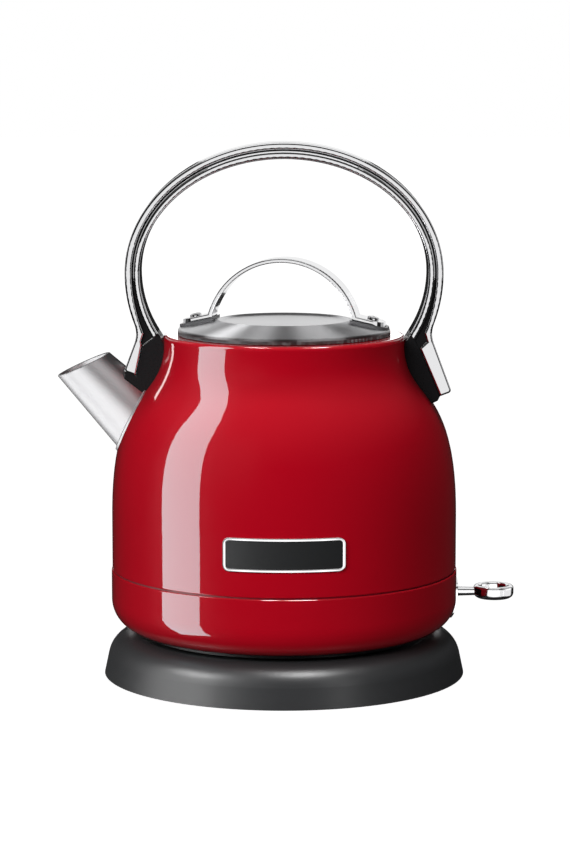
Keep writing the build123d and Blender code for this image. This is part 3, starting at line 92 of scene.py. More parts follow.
# Small plated pieces, with a softer shine than the handles
SMALL_TRIM = ("switch_lever", "lever_escutcheon", "badge_frame")

# The rounding of the screws' heads: its share of the head's height, and its steps
DOMED_HEAD = (0.8, 5)
PAN_HEAD = (0.5, 3)
FLUSH_HEAD = (0.06, 2)

# The lid's screws, as CAD has them, in metres and degrees; a seat has a distance from the axis and a height
LID_SCREW_SHANK = 0.0015
LID_SCREW_REACH = 0.0075
LID_SCREW_SEAT = (0.0415, 0.166284)
LID_SCREW_RISE = 0.0032  # of the head over the seat, through the pad and the strap
LID_LEAN = 12.5
LID_TURN = -10.0

# The handle's screws
HANDLE_SCREW_HEIGHT = 0.0016
HANDLE_SCREW_SHANK = 0.0016
HANDLE_SCREW_REACH = 0.009
HANDLE_SCREW_SEAT = (0.072392, 0.15176)
TAIL_LEAN = 20.5

# The screws underneath: CAD node, name, radius of their circle, height, and angle of the first of three
UNDERSIDE_SCREW_SHANK = 0.0014
UNDERSIDE_SCREW_REACH = 0.0092
UNDERSIDE_SCREWS = (
    ("base_screws", "base_screw_heads", 0.076568, 0.0015, 30.0),
    ("bottom_screws", "bottom_screw_heads", 0.058, 0.0216, 60.0),
)

# The cross recesses: their reach as a share of the head's radius, the size of their floor against
# their top, along and across a wing, and how far they are turned in the heads, in radians
RECESS_SHARE = 0.58
RECESS_TAPER = (0.45, 0.7, 1.0)
LID_SCREW_SPIN = 0.4
HANDLE_SCREW_SPIN = 0.3

# Edges that turn by more degrees than this stay sharp in the shading
PLATED_SHARP_ANGLE = 25.0
SCREW_SHARP_ANGLE = 35.0

# The slant of the spout's axis, in degrees
SPOUT_ANGLE = 45.0


# Sizes, colours and lights that a user would change


def colour(name, description, value):
    """A colour property, in linear light."""
    return FloatVectorProperty(
        name=name, description=description, default=value, subtype="COLOR", size=3, min=0.0, max=1.0
    )


def length(name, description, value):
    """A length property, in metres."""
    return FloatProperty(name=name, description=description, default=value, unit="LENGTH", precision=5)


def share(name, description, value):
    """A property from 0 to 1."""
    return FloatProperty(
        name=name, description=description, default=value, min=0.0, max=1.0, subtype="FACTOR"
    )


def glow(name, description, value):
    """The brightness of a light as a mirror shows it, where 1 is white."""
    return FloatProperty(name=name, description=description, default=value, min=0.0)


class KettleFinishes(bpy.types.PropertyGroup):
    """Colours and glosses of the kettle's materials."""

    enamel: colour("Enamel", "Red of the body and the lower housing", (0.50, 0.0016, 0.012))
    enamel_gloss: share("Enamel roughness", "Roughness of the enamel's clear coat", 0.015)
    steel: colour("Steel", "Brushed steel of the spout and the lid", (0.66, 0.66, 0.67))
    steel_roughness: share("Steel roughness", "Roughness of the spout and of the lid's top", 0.3)
    spun_roughness: share("Spun roughness", "Roughness of the lid's slope", 0.45)
    chrome: colour("Chrome", "Plating of the handles, the lever and the badge frame", (0.88, 0.88, 0.89))
    base: colour("Power base", "Moulded plastic of the power base", (0.035, 0.036, 0.038))
    black: colour("Black plastic", "Moulded plastic of the brackets and the strip", (0.012, 0.012, 0.013))
    pads: colour("Lid pads", "Moulded pads under the lid's strap", (0.10, 0.10, 0.105))
    badge: colour("Badge field", "Bare field of the badge", (0.022, 0.023, 0.024))
    inside: colour("Inner steel", "Steel of the vessel and the fasteners", (0.60, 0.60, 0.61))
    aluminium: colour("Aluminium", "Cast plate of the heater", (0.68, 0.68, 0.69))
    brass: colour("Brass", "Contacts and bimetal discs", (0.66, 0.47, 0.20))
    rubber: colour("Rubber", "Feet and grommet of the power base", (0.02, 0.02, 0.02))
    silicone: colour("Silicone", "Seal of the lid", (0.30, 0.30, 0.31))
    gasket: colour("Gasket", "Red gasket in the seam under the body", (0.15, 0.001, 0.008))
    lens: colour("Lens", "Clear rod of the indicator", (0.70, 0.74, 0.80))
    filter: colour("Filter plastic", "Frame of the limescale filter", (0.42, 0.42, 0.43))


class KettleSizes(bpy.types.PropertyGroup):
    """Sizes of the pieces modelled here."""

    lid_slope: length("Lid slope", "Width of the lid's slope, from its edge in to its top", 0.019)
    dome_radius: length("Lid screw head", "Radius of the lid screws' domed heads", 0.0028)
    dome_height: length("Lid screw dome", "Height of the lid screws' heads", 0.0013)
    pan_radius: length("Pan head", "Radius of the pan heads under the base and the kettle", 0.003)
    pan_height: length("Pan height", "Height of the pan heads", 0.0012)
    flush_radius: length("Flush head", "Radius of the countersunk heads in the handle", 0.0032)
    recess_width: length("Recess width", "Width of a wing of the cross recess", 0.0007)
    recess_depth: length("Recess depth", "Depth of the cross recess", 0.0008)


class KettleStage(bpy.types.PropertyGroup):
    """Camera and lights."""

    camera_place: FloatVectorProperty(
        name="Camera",
        description="Where the camera stands",
        default=(0.00042, -1.403, 0.3126),
        subtype="XYZ",
        unit="LENGTH",
        precision=5,
    )
    camera_tilt: FloatProperty(
        name="Camera tilt",
        description="How far the camera looks down",
        default=math.radians(7.93),
        subtype="ANGLE",
    )
    camera_lens: FloatProperty(
        name="Focal length",
        description="Focal length on a 36 mm sensor, in millimetres",
        default=126.32,
        min=1.0,
    )
    strip_glow: glow("Strip light", "Tall panel at the left that the enamel mirrors", 8.0)
    crest_glow: glow("Crest light", "High panel that the base's crest mirrors at the right", 45.0)
    base_strip: glow("Base strip", "Tall panel that the mouldings mirror at the left", 22.0)
    base_glow: glow("Base light", "Tall panel that the base's side mirrors at the right", 2.5)
    dim_glow: glow("Dim trim light", "Dimmer panels round the plated trim, for other views", 0.4)
    lip_glow: glow("Lip lights", "High panels that the housing's lip mirrors", 40.0)
    strip_tint: colour("Strip tint", "Colour of the strip that the enamel mirrors", (0.62, 0.95, 1.0))
    edge_glow: glow("Edge light", "Small panel at the left that only the neck mirrors", 4.0)
    key_glow: glow("Key light", "Large soft light from the front left", 9.3)
    fill_glow: glow("Fill light", "Weak soft light from the right", 1.5)
    top_glow: glow("Top light", "Soft light overhead", 40.0)
    backdrop_glow: glow("Backdrop light", "White panel behind the kettle", 2.5)
    trim_glow: glow("Trim light", "Panels that only the chrome mirrors", 0.9)
    steel_glow: glow("Steel light", "Panels that only the brushed steel sees", 1.2)
    fill: share("Fill", "Soft light from all round", 0.1)


# Helpers for materials


def add_node(tree, kind, values=None, **settings):
    """Adds a node, sets its options and the values of its inputs, and returns it."""
    made = tree.nodes.new(kind)
    for name, value in settings.items():
        setattr(made, name, value)
    for name, value in (values or {}).items():
        made.inputs[name].default_value = value
    return made


def new_finish(name):
    """A material with its node tree and its shader, under a name that the CAD's materials don't have."""
    material = bpy.data.materials.new(name + "_finish")
    material.use_nodes = True
    return material, material.node_tree, material.node_tree.nodes["Principled BSDF"]


def finish_of(name):
    """A finish made earlier."""
    return bpy.data.materials[name + "_finish"]


def place_of(tree, scale=(1.0, 1.0, 1.0)):
    """The piece's own coordinates in metres, times a scale."""
    source = add_node(tree, "ShaderNodeTexCoord")
    mapping = add_node(tree, "ShaderNodeMapping", {"Scale": scale})
    tree.links.new(source.outputs["Object"], mapping.inputs["Vector"])
    return mapping.outputs["Vector"]


def grain(tree, place, scale, detail=2.0, rough=0.5):
    """A cloudy pattern from 0 to 1, with about as many lumps to the metre as scale says."""
    noise = add_node(
        tree, "ShaderNodeTexNoise", {"Scale": scale, "Detail": detail, "Roughness": rough}
    )
    tree.links.new(place, noise.inputs["Vector"])
    return noise.outputs["Fac"]


def between(tree, source, low, high, start=0.3, end=0.7):
    """A pattern that runs from low to high while its source runs from start to end."""
    ranged = add_node(
        tree, "ShaderNodeMapRange", {"From Min": start, "From Max": end, "To Min": low, "To Max": high}
    )
    tree.links.new(source, ranged.inputs["Value"])
    return ranged.outputs["Result"]


def tinted(tree, source, dark, light):
    """A colour that runs from dark to light with a pattern."""
    mix = add_node(tree, "ShaderNodeMix", data_type="RGBA")
    mix.inputs["A"].default_value = (*dark, 1.0)
    mix.inputs["B"].default_value = (*light, 1.0)
    tree.links.new(source, mix.inputs["Factor"])
    return mix.outputs["Result"]


def times(value, factor):
    """A colour made darker or lighter."""
    return tuple(min(1.0, part * factor) for part in value)


def raised(tree, shader, source, depth, strength, coat=False):
    """Bumps on the shader's surface from a pattern, as deep as depth in metres."""
    bump = add_node(tree, "ShaderNodeBump", {"Strength": strength, "Distance": depth})
    tree.links.new(source, bump.inputs["Height"])
    tree.links.new(bump.outputs["Normal"], shader.inputs["Normal"])
    if coat:
        tree.links.new(bump.outputs["Normal"], shader.inputs["Coat Normal"])


def level_part(tree, place):
    """A place without its height, so that it points away from Z."""
    flat = add_node(tree, "ShaderNodeVectorMath", operation="MULTIPLY")
    flat.inputs[1].default_value = (1.0, 1.0, 0.0)
    tree.links.new(place, flat.inputs[0])
    return flat.outputs["Vector"]


def wire(tree, source, shader, socket):
    """Links a pattern to a socket of the shader."""
    tree.links.new(source, shader.inputs[socket])


# Finishes


def enamel_finish(finishes):
    """Glossy red enamel outside, and bare steel where the wall faces the water."""
    material, tree, shader = new_finish("red_enamel")
    place = place_of(tree)
    cloud = grain(tree, place, 14.0)
    red = tinted(tree, cloud, times(finishes.enamel, 0.96), times(finishes.enamel, 1.04))
    # The product of the piece's own normal and its place round Z is below zero where a wall faces in.
    # Both are in the piece's own axes, so that it stays so when the kettle turns.
    source = add_node(tree, "ShaderNodeTexCoord")
    flat = level_part(tree, place)
    outward = add_node(tree, "ShaderNodeVectorMath", operation="DOT_PRODUCT")
    tree.links.new(source.outputs["Normal"], outward.inputs[0])
    tree.links.new(flat, outward.inputs[1])
    inner = between(tree, outward.outputs["Value"], 1.0, 0.0, start=-0.004, end=-0.001)
    brushed = grain(tree, place_of(tree, (3.0, 3.0, 400.0)), 3.0)
    steel = tinted(tree, brushed, times(finishes.inside, 0.85), finishes.inside)
    wall = add_node(tree, "ShaderNodeMix", data_type="RGBA")
    tree.links.new(inner, wall.inputs["Factor"])
    tree.links.new(red, wall.inputs["A"])
    tree.links.new(steel, wall.inputs["B"])
    wire(tree, wall.outputs["Result"], shader, "Base Color")
    wire(tree, inner, shader, "Metallic")
    gloss = between(tree, grain(tree, place, 90.0), 0.30, 0.36)
    wire(tree, gloss, shader, "Roughness")
    shader.inputs["Specular IOR Level"].default_value = 0.04
    shader.inputs["Coat Weight"].default_value = 1.0
    shader.inputs["Coat Roughness"].default_value = finishes.enamel_gloss
    shader.inputs["Coat IOR"].default_value = 1.55
    ripple = grain(tree, place, 190.0, detail=1.0)
    raised(tree, shader, ripple, depth=0.00002, strength=0.25, coat=True)
    return material


def brush_lines(tree, place, along):
    """Fine lines that follow one coordinate, over faint patches, from 0 to 1."""
    fine = {"Scale": 5200.0, "Detail": 4.0, "Roughness": 0.6}
    lines = add_node(tree, "ShaderNodeTexNoise", fine, noise_dimensions="1D")
    tree.links.new(along, lines.inputs["W"])
    patches = grain(tree, place, 60.0, detail=3.0)
    patch_share = 0.35
    both = add_node(tree, "ShaderNodeMath", operation="MULTIPLY_ADD")
    tree.links.new(patches, both.inputs[0])
    both.inputs[1].default_value = patch_share
    tree.links.new(between(tree, lines.outputs["Fac"], 0.0, 1.0 - patch_share), both.inputs[2])
    return both.outputs["Value"]


def steel_tone(tree, lines, finishes):
    """The steel's colour, a little uneven along its brush lines."""
    return tinted(tree, lines, times(finishes.steel, 0.96), times(finishes.steel, 1.03))


def brushed_finish(finishes, axis):
    """Steel brushed round an axis, as on the spout."""
    material, tree, shader = new_finish("brushed_steel")
    place = place_of(tree)
    direction = add_node(tree, "ShaderNodeCombineXYZ", {"X": axis[0], "Y": axis[1], "Z": axis[2]})
    dot = add_node(tree, "ShaderNodeVectorMath", operation="DOT_PRODUCT")
    tree.links.new(place, dot.inputs[0])
    tree.links.new(direction.outputs["Vector"], dot.inputs[1])
    lines = brush_lines(tree, place, dot.outputs["Value"])
    wire(tree, steel_tone(tree, lines, finishes), shader, "Base Color")
    rough = finishes.steel_roughness
    wire(tree, between(tree, lines, rough + 0.17, rough + 0.23, start=0.2, end=0.8), shader, "Roughness")
    wire(tree, direction.outputs["Vector"], shader, "Tangent")
    shader.inputs["Metallic"].default_value = 1.0
    shader.inputs["Anisotropic"].default_value = 0.4
    raised(tree, shader, lines, depth=0.00001, strength=0.1)
    return material


def spun_finish(finishes, top_radius, lid_radius):
    """Steel spun round Z: strongly on the lid's slope and softly on its top, with painted shade that
    darkens its edge.
    """
    material, tree, shader = new_finish("spun_steel")
    place = place_of(tree)
    outward = level_part(tree, place)
    measured = add_node(tree, "ShaderNodeVectorMath", operation="LENGTH")
    tree.links.new(outward, measured.inputs[0])
    radius = measured.outputs["Value"]
    lines = brush_lines(tree, place, radius)
    # Painted shade: the steel's colour darkens to 0.3 of itself towards the lid's outer edge, as if its rim
    # were in shadow.
    rim_shade_span = (lid_radius - 0.0008, lid_radius - 0.0002)
    shade = add_node(tree, "ShaderNodeVectorMath", operation="SCALE")
    tree.links.new(steel_tone(tree, lines, finishes), shade.inputs[0])
    tree.links.new(between(tree, radius, 1.0, 0.3, *rim_shade_span), shade.inputs["Scale"])
    wire(tree, shade.outputs["Vector"], shader, "Base Color")
    top_edge = (top_radius - 0.0005, top_radius)
    wire(tree, between(tree, radius, 0.2, 0.96, *top_edge), shader, "Anisotropic")
    rough = between(tree, radius, finishes.steel_roughness, finishes.spun_roughness, *top_edge)
    wire(tree, rough, shader, "Roughness")
    wire(tree, outward, shader, "Tangent")
    shader.inputs["Metallic"].default_value = 1.0
    raised(tree, shader, lines, depth=0.00001, strength=0.1)
    return material


def chrome_finish(name, finishes, rough):
    """Mirror plating with the faint haze of handling."""
    material, tree, shader = new_finish(name)
    place = place_of(tree)
    haze = grain(tree, place, 45.0, detail=4.0)
    wire(tree, tinted(tree, haze, times(finishes.chrome, 0.97), finishes.chrome), shader, "Base Color")
    wire(tree, between(tree, haze, rough, rough + 0.035), shader, "Roughness")
    shader.inputs["Metallic"].default_value = 1.0
    raised(tree, shader, grain(tree, place, 120.0, detail=1.0), depth=0.00001, strength=0.01)
    return material


def moulded_finish(name, tone, rough, scale, depth):
    """Moulded plastic with a fine spark-eroded grain."""
    material, tree, shader = new_finish(name)
    place = place_of(tree)
    fine = grain(tree, place, scale, detail=3.0, rough=0.6)
    cloud = grain(tree, place, 22.0)
    wire(tree, tinted(tree, cloud, times(tone, 0.9), times(tone, 1.1)), shader, "Base Color")
    wire(tree, between(tree, fine, rough - 0.05, rough + 0.07), shader, "Roughness")
    raised(tree, shader, fine, depth, strength=0.5)
    return material


def metal_finish(name, tone, rough, stretch, worn=0.8):
    """Plain metal with drawn lines and a little tarnish."""
    material, tree, shader = new_finish(name)
    lines = grain(tree, place_of(tree, stretch), 60.0, detail=3.0)
    stain = grain(tree, place_of(tree), 80.0, detail=4.0)
    both = add_node(tree, "ShaderNodeMath", operation="MULTIPLY")
    tree.links.new(lines, both.inputs[0])
    tree.links.new(stain, both.inputs[1])
    shade = between(tree, both.outputs["Value"], 0.0, 1.0, start=0.12, end=0.4)
    wire(tree, tinted(tree, shade, times(tone, worn), tone), shader, "Base Color")
    wire(tree, between(tree, lines, rough - 0.06, rough + 0.08), shader, "Roughness")
    shader.inputs["Metallic"].default_value = 1.0
    raised(tree, shader, lines, depth=0.00002, strength=0.3)
    return material


def rubber_finish(name, tone, rough, subsurface=0.0):
    """Soft moulded rubber or silicone, a little dusty."""
    material, tree, shader = new_finish(name)
    place = place_of(tree)
    dust = grain(tree, place, 160.0, detail=4.0, rough=0.65)
    wire(tree, tinted(tree, dust, times(tone, 0.85), times(tone, 1.3)), shader, "Base Color")
    wire(tree, between(tree, dust, rough - 0.06, rough + 0.1), shader, "Roughness")
    shader.inputs["Specular IOR Level"].default_value = 0.35
    shader.inputs["Subsurface Weight"].default_value = subsurface
    shader.inputs["Subsurface Scale"].default_value = 0.002
    raised(tree, shader, grain(tree, place, 900.0), depth=0.00003, strength=0.4)
    return material


def lens_finish(finishes):
    """Clear, slightly frosted plastic."""
    material, tree, shader = new_finish("lens")
    place = place_of(tree)
    cloud = grain(tree, place, 300.0)
    wire(tree, tinted(tree, cloud, times(finishes.lens, 0.92), finishes.lens), shader, "Base Color")
    wire(tree, between(tree, cloud, 0.08, 0.2), shader, "Roughness")
    shader.inputs["Transmission Weight"].default_value = 0.55
    shader.inputs["IOR"].default_value = 1.49
    return material


def dress(material, *nodes):
    """Puts a material on CAD nodes, in place of the one they came with."""
    for name in nodes:
        data = frame["nodes"][name].data
        data.materials.clear()
        data.materials.append(material)


def crisp(*nodes):
    """Evens out the shading of CAD nodes: flat faces look flat, and roundings run on from them."""
    for name in nodes:
        node = frame["nodes"][name]
        take(node)
        bpy.ops.mesh.customdata_custom_splitnormals_clear()
        bpy.ops.object.shade_smooth_by_angle(angle=math.radians(PLATED_SHARP_ANGLE))
        bpy.ops.object.modifier_add(type="WEIGHTED_NORMAL")
        node.modifiers[-1].weight = 100
        node.modifiers[-1].keep_sharp = True


def in_slot(slot):
    """The CAD nodes of one of the record's material slots."""
    return [node for node, name in SLOT_OF_NODE.items() if name == slot]


# Helpers for modelled pieces


def clear_selection():
    """Leaves edit mode and deselects everything."""
    if bpy.context.mode != "OBJECT":
        bpy.ops.object.mode_set(mode="OBJECT")
    bpy.ops.object.select_all(action="DESELECT")


def take(piece):
    """Selects one piece alone and makes it active."""
    clear_selection()
    piece.select_set(True)
    bpy.context.view_layer.objects.active = piece


def pick_faces(piece, test):
    """In edit mode, selects only the faces that pass a test."""
    bpy.ops.object.mode_set(mode="OBJECT")
    mesh = piece.data
    for edge in mesh.edges:
        edge.select = False
    for vertex in mesh.vertices:
        vertex.select = False
    for face in mesh.polygons:
        face.select = test(face)
    bpy.ops.object.mode_set(mode="EDIT")
    bpy.ops.mesh.select_mode(type="FACE")


def apply_modifiers(piece):
    """Applies all of a piece's modifiers, in order."""
    take(piece)
    for modifier in list(piece.modifiers):
        bpy.ops.object.modifier_apply(modifier=modifier.name)


def recess_cutter(radius, width, depth, top):
    """Two tapered wings that cut a screw's cross recess, as deep as depth under top."""
    wings = []
    for turn in (0.0, math.pi / 2):
        clear_selection()
        bpy.ops.mesh.primitive_cube_add(size=1.0, location=(0.0, 0.0, 0.0))
        wing = bpy.context.active_object
        wing.scale = (2 * radius, width, 2 * depth)
        bpy.ops.object.transform_apply(location=False, rotation=False, scale=True)
        pick_faces(wing, lambda face: face.normal.z < -0.5)
        bpy.ops.transform.resize(value=RECESS_TAPER)
        bpy.ops.object.mode_set(mode="OBJECT")
        wing.data.transform(Matrix.Translation((0.0, 0.0, top)) @ Matrix.Rotation(turn, 4, "Z"))
        wings.append(wing)
    return wings


def model_screw(name, head, height, shank, reach, sizes, rounding, countersunk=False):
    """One screw with its head up and its head's underside at the origin.

    head and shank are radii, and reach is the length of the screw without its short tip.
    """
    clear_selection()
    bpy.ops.mesh.primitive_cylinder_add(
        vertices=48, radius=head, depth=height, location=(0.0, 0.0, height / 2)
    )
    screw = bpy.context.active_object
    screw.name = name
    bpy.ops.object.transform_apply(location=True, rotation=False, scale=False)
    pick_faces(screw, lambda face: face.normal.z < -0.5)
    if countersunk:
        bpy.ops.transform.resize(value=(shank / head, shank / head, 1.0))
    else:
        bpy.ops.mesh.inset(thickness=head - shank)
    bpy.ops.mesh.extrude_region_move(TRANSFORM_OT_translate={"value": (0.0, 0.0, -(reach - height))})
    tip = shank * 0.3
    bpy.ops.mesh.inset(thickness=tip)
    bpy.ops.transform.translate(value=(0.0, 0.0, -tip))
    rounded, steps = rounding
    pick_faces(screw, lambda face: face.normal.z > 0.5 and face.center.z > height * 0.9)
    bpy.ops.mesh.bevel(offset=height * rounded, segments=steps, profile=0.6)
    bpy.ops.object.mode_set(mode="OBJECT")
    wings = recess_cutter(head * RECESS_SHARE, sizes.recess_width, sizes.recess_depth, height)
    for wing in wings:
        cut = screw.modifiers.new("recess", "BOOLEAN")
        cut.object = wing
        cut.operation = "DIFFERENCE"
        cut.solver = "EXACT"
        apply_modifiers(screw)
        bpy.data.objects.remove(wing)
    take(screw)
    bpy.ops.object.shade_smooth_by_angle(angle=math.radians(SCREW_SHARP_ANGLE))
    return screw


def copies_at(screw, name, places):
    """Copies of a screw at the places given, joined as one piece with its place in its mesh."""
    made = []
    for place in places:
        copy = bpy.data.objects.new(name, screw.data.copy())
        bpy.context.scene.collection.objects.link(copy)
        copy.data.transform(place)
        made.append(copy)
    bpy.data.objects.remove(screw)
    clear_selection()
    for copy in made:
        copy.select_set(True)
    bpy.context.view_layer.objects.active = made[0]
    if len(made) > 1:
        bpy.ops.object.join()
    piece = bpy.context.active_object
    piece.name = name
    piece.data.name = name
    return piece


def facing(origin, direction, spin):
    """A place at origin whose Z points along direction, turned round it by spin."""
    upright = Vector((0.0, 0.0, 1.0))
    turn = upright.rotation_difference(direction.normalized()).to_matrix().to_4x4()
    return Matrix.Translation(origin) @ turn @ Matrix.Rotation(spin, 4, "Z")


def stand_in(piece, node, material):
    """A modelled piece takes the place of a CAD node."""
    piece.data.materials.clear()
    piece.data.materials.append(material)
    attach(piece, BODY_OF_NODE[node])
    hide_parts(node)


# Operators, one for each group of pieces


class KETTLE_OT_enamel(bpy.types.Operator):
    """Gives the body and the lower housing their red enamel"""

    bl_idname = "kettle.enamel"
    bl_label = "Enamel the body"

    def execute(self, context):
        dress(enamel_finish(context.scene.kettle_finishes), *in_slot("red_enamel"))
        return {"FINISHED"}


class KETTLE_OT_power_base(bpy.types.Operator):
    """Gives the power base its satin moulded plastic, and its contacts and feet their own finishes"""

    bl_idname = "kettle.power_base"
    bl_label = "Finish the power base"

    def execute(self, context):
        finishes = context.scene.kettle_finishes
        plastic = moulded_finish("base_plastic", finishes.base, rough=0.36, scale=1400.0, depth=0.00004)
        dress(plastic, *in_slot("base_plastic"))
        brass = metal_finish("brass", finishes.brass, rough=0.3, stretch=(1.0, 1.0, 12.0), worn=0.7)
        dress(brass, *in_slot("brass"))
        dress(rubber_finish("rubber", finishes.rubber, rough=0.6), *in_slot("rubber"))
        return {"FINISHED"}


class KETTLE_OT_spout_and_lid(bpy.types.Operator):
    """Brushes the steel of the spout and its bead, and spins that of the lid"""

    bl_idname = "kettle.spout_and_lid"
    bl_label = "Brush the spout and the lid"

    def execute(self, context):
        finishes = context.scene.kettle_finishes
        slant = math.radians(SPOUT_ANGLE)
        axis = (-math.cos(slant), 0.0, math.sin(slant))
        dress(brushed_finish(finishes, axis), "spout", "spout_bead")
        lid_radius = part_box("lid_cover")[1][0]
        top_radius = lid_radius - context.scene.kettle_sizes.lid_slope
        dress(spun_finish(finishes, top_radius, lid_radius), "lid_cover")
        return {"FINISHED"}


class KETTLE_OT_chrome(bpy.types.Operator):
    """Plates the hoop's bands, the lid's strap, the lever, its plate and the badge frame"""

    bl_idname = "kettle.chrome"
    bl_label = "Plate the trim"

    def execute(self, context):
        finishes = context.scene.kettle_finishes
        dress(chrome_finish("chrome", finishes, rough=0.025), *in_slot("chrome"))
        dress(chrome_finish("small_chrome", finishes, rough=0.1), *SMALL_TRIM)
        crisp(*in_slot("chrome"))
        return {"FINISHED"}


class KETTLE_OT_black_mouldings(bpy.types.Operator):
    """Gives the brackets, the strip, the inner mouldings, the lid's pads and the badge their plastics"""

    bl_idname = "kettle.black_mouldings"
    bl_label = "Finish the black mouldings"

    def execute(self, context):
        finishes = context.scene.kettle_finishes
        black = moulded_finish("black_plastic", finishes.black, rough=0.3, scale=1600.0, depth=0.00003)
        dress(black, *in_slot("black_plastic"))
        pads = moulded_finish("pad_plastic", finishes.pads, rough=0.34, scale=1600.0, depth=0.00003)
        dress(pads, "lid_handle_pads")
        field = moulded_finish("badge_black", finishes.badge, rough=0.4, scale=2600.0, depth=0.00002)
        dress(field, *in_slot("badge_black"))
        return {"FINISHED"}


class KETTLE_OT_inner_parts(bpy.types.Operator):
    """Finishes the heater, the filter, the seal, the indicator and the other inner parts"""

    bl_idname = "kettle.inner_parts"
    bl_label = "Finish the inner parts"

    def execute(self, context):
        finishes = context.scene.kettle_finishes
        steel = metal_finish("vessel_steel", finishes.inside, rough=0.3, stretch=(3.0, 3.0, 40.0))
        dress(steel, *in_slot("vessel_steel"))
        aluminium = metal_finish("aluminium", finishes.aluminium, rough=0.42, stretch=(1.0, 1.0, 1.0))
        dress(aluminium, *in_slot("aluminium"))
        silicone = rubber_finish("silicone", finishes.silicone, rough=0.45, subsurface=0.2)
        dress(silicone, *in_slot("silicone"))
        dress(rubber_finish("gasket", finishes.gasket, rough=0.4), "seam_gasket")
        plastic = moulded_finish("filter_plastic", finishes.filter, rough=0.45, scale=1500.0, depth=0.00003)
        dress(plastic, *in_slot("filter_plastic"))
        dress(lens_finish(finishes), *in_slot("lens"))
        return {"FINISHED"}


class KETTLE_OT_lid_screws(bpy.types.Operator):
    """Models the two domed screws in the feet of the lid's strap"""

    bl_idname = "kettle.lid_screws"
    bl_label = "Model the lid's screws"

    def execute(self, context):
        sizes = context.scene.kettle_sizes
        screw = model_screw(
            "lid_screw",
            sizes.dome_radius,
            sizes.dome_height,
            LID_SCREW_SHANK,
            LID_SCREW_REACH,
            sizes,
            DOMED_HEAD,
        )
        turn = Matrix.Rotation(math.radians(LID_TURN), 4, "Z")
        lean = math.radians(LID_LEAN)
        distance, height = LID_SCREW_SEAT
        places = []
        for side in (-1.0, 1.0):
            up = Vector((side * math.sin(lean), 0.0, math.cos(lean)))
            seat = Vector((side * distance, 0.0, height)) + up * LID_SCREW_RISE
            places.append(turn @ facing(seat, up, LID_SCREW_SPIN * side))
        piece = copies_at(screw, "lid_screw_heads", places)
        stand_in(piece, "lid_screws", finish_of("chrome"))
        return {"FINISHED"}


class KETTLE_OT_handle_screws(bpy.types.Operator):
    """Models the countersunk screws that hold the hoop's tails to their brackets"""

    bl_idname = "kettle.handle_screws"
    bl_label = "Model the handle's screws"

    def execute(self, context):
        sizes = context.scene.kettle_sizes
        screw = model_screw(
            "handle_screw",
            sizes.flush_radius,
            HANDLE_SCREW_HEIGHT,
            HANDLE_SCREW_SHANK,
            HANDLE_SCREW_REACH,
            sizes,
            FLUSH_HEAD,
            countersunk=True,
        )
        lean = math.radians(TAIL_LEAN)
        distance, height = HANDLE_SCREW_SEAT
        places = []
        for side in (-1.0, 1.0):
            out = Vector((side * math.cos(lean), 0.0, math.sin(lean)))
            seat = Vector((side * distance, 0.0, height)) - out * HANDLE_SCREW_HEIGHT
            places.append(facing(seat, out, HANDLE_SCREW_SPIN))
        piece = copies_at(screw, "handle_screw_heads", places)
        stand_in(piece, "handle_screws", finish_of("chrome"))
        return {"FINISHED"}


class KETTLE_OT_underside_screws(bpy.types.Operator):
    """Models the pan-head screws under the power base and under the kettle"""

    bl_idname = "kettle.underside_screws"
    bl_label = "Model the underside's screws"

    def execute(self, context):
        sizes = context.scene.kettle_sizes
        for node, name, circle, height, first in UNDERSIDE_SCREWS:
            screw = model_screw(
                name + "_one",
                sizes.pan_radius,
                sizes.pan_height,
                UNDERSIDE_SCREW_SHANK,
                UNDERSIDE_SCREW_REACH,
                sizes,
                PAN_HEAD,
            )
            places = []
            for step in range(3):
                angle = math.radians(first + 120.0 * step)
                place = Vector((circle * math.cos(angle), circle * math.sin(angle), height))
                places.append(Matrix.Translation(place) @ Matrix.Rotation(math.pi, 4, "X"))
            piece = copies_at(screw, name, places)
            stand_in(piece, node, finish_of("vessel_steel"))
        return {"FINISHED"}


# Stage


def around(azimuth, distance, height):
    """A point round the kettle; azimuth 0 is towards the camera, and a positive one is to the right."""
    turn = math.radians(azimuth)
    return (distance * math.sin(turn), -distance * math.cos(turn), height)


def softbox(name, place, aim, size, bright, receivers, diffuse=True, glossy=True):
    """A rectangular light at place that faces aim and lights only its receivers.

    bright is what a mirror shows of it, where 1 is white.
    """
    clear_selection()
    bpy.ops.object.light_add(type="AREA", location=place)
    lamp = bpy.context.active_object
    lamp.name = name
    lamp.data.shape = "RECTANGLE"
    lamp.data.size, lamp.data.size_y = size
    lamp.data.energy = bright * math.pi * size[0] * size[1]
    towards = Vector(aim) - Vector(place)
    lamp.rotation_euler = towards.to_track_quat("-Z", "Y").to_euler()
    lamp.visible_camera = False
    lamp.visible_diffuse = diffuse
    lamp.visible_glossy = glossy
    lamp.light_linking.receiver_collection = receivers


def leaning_panel(name, distance, rows, bright, receivers, tint=(1.0, 1.0, 1.0)):
    """A panel round the kettle that only reflections in its receivers show, with its edges in rows."""
    clear_selection()
    bpy.ops.mesh.primitive_grid_add(x_subdivisions=1, y_subdivisions=len(rows) - 1, size=2.0)
    panel = bpy.context.active_object
    panel.name = name
    levels = sorted({round(vertex.co.y, 4) for vertex in panel.data.vertices})
    for vertex in panel.data.vertices:
        height, left, right = rows[levels.index(round(vertex.co.y, 4))]
        vertex.co = around(left if vertex.co.x < 0 else right, distance, height)
    material = bpy.data.materials.new(name)
    material.use_nodes = True
    tree = material.node_tree
    tree.nodes.clear()
    light = add_node(tree, "ShaderNodeEmission", {"Strength": bright, "Color": (*tint, 1.0)})
    end = add_node(tree, "ShaderNodeOutputMaterial")
    tree.links.new(light.outputs["Emission"], end.inputs["Surface"])
    panel.data.materials.append(material)
    panel.visible_camera = False
    panel.visible_diffuse = False
    panel.visible_shadow = False
    panel.light_linking.receiver_collection = receivers


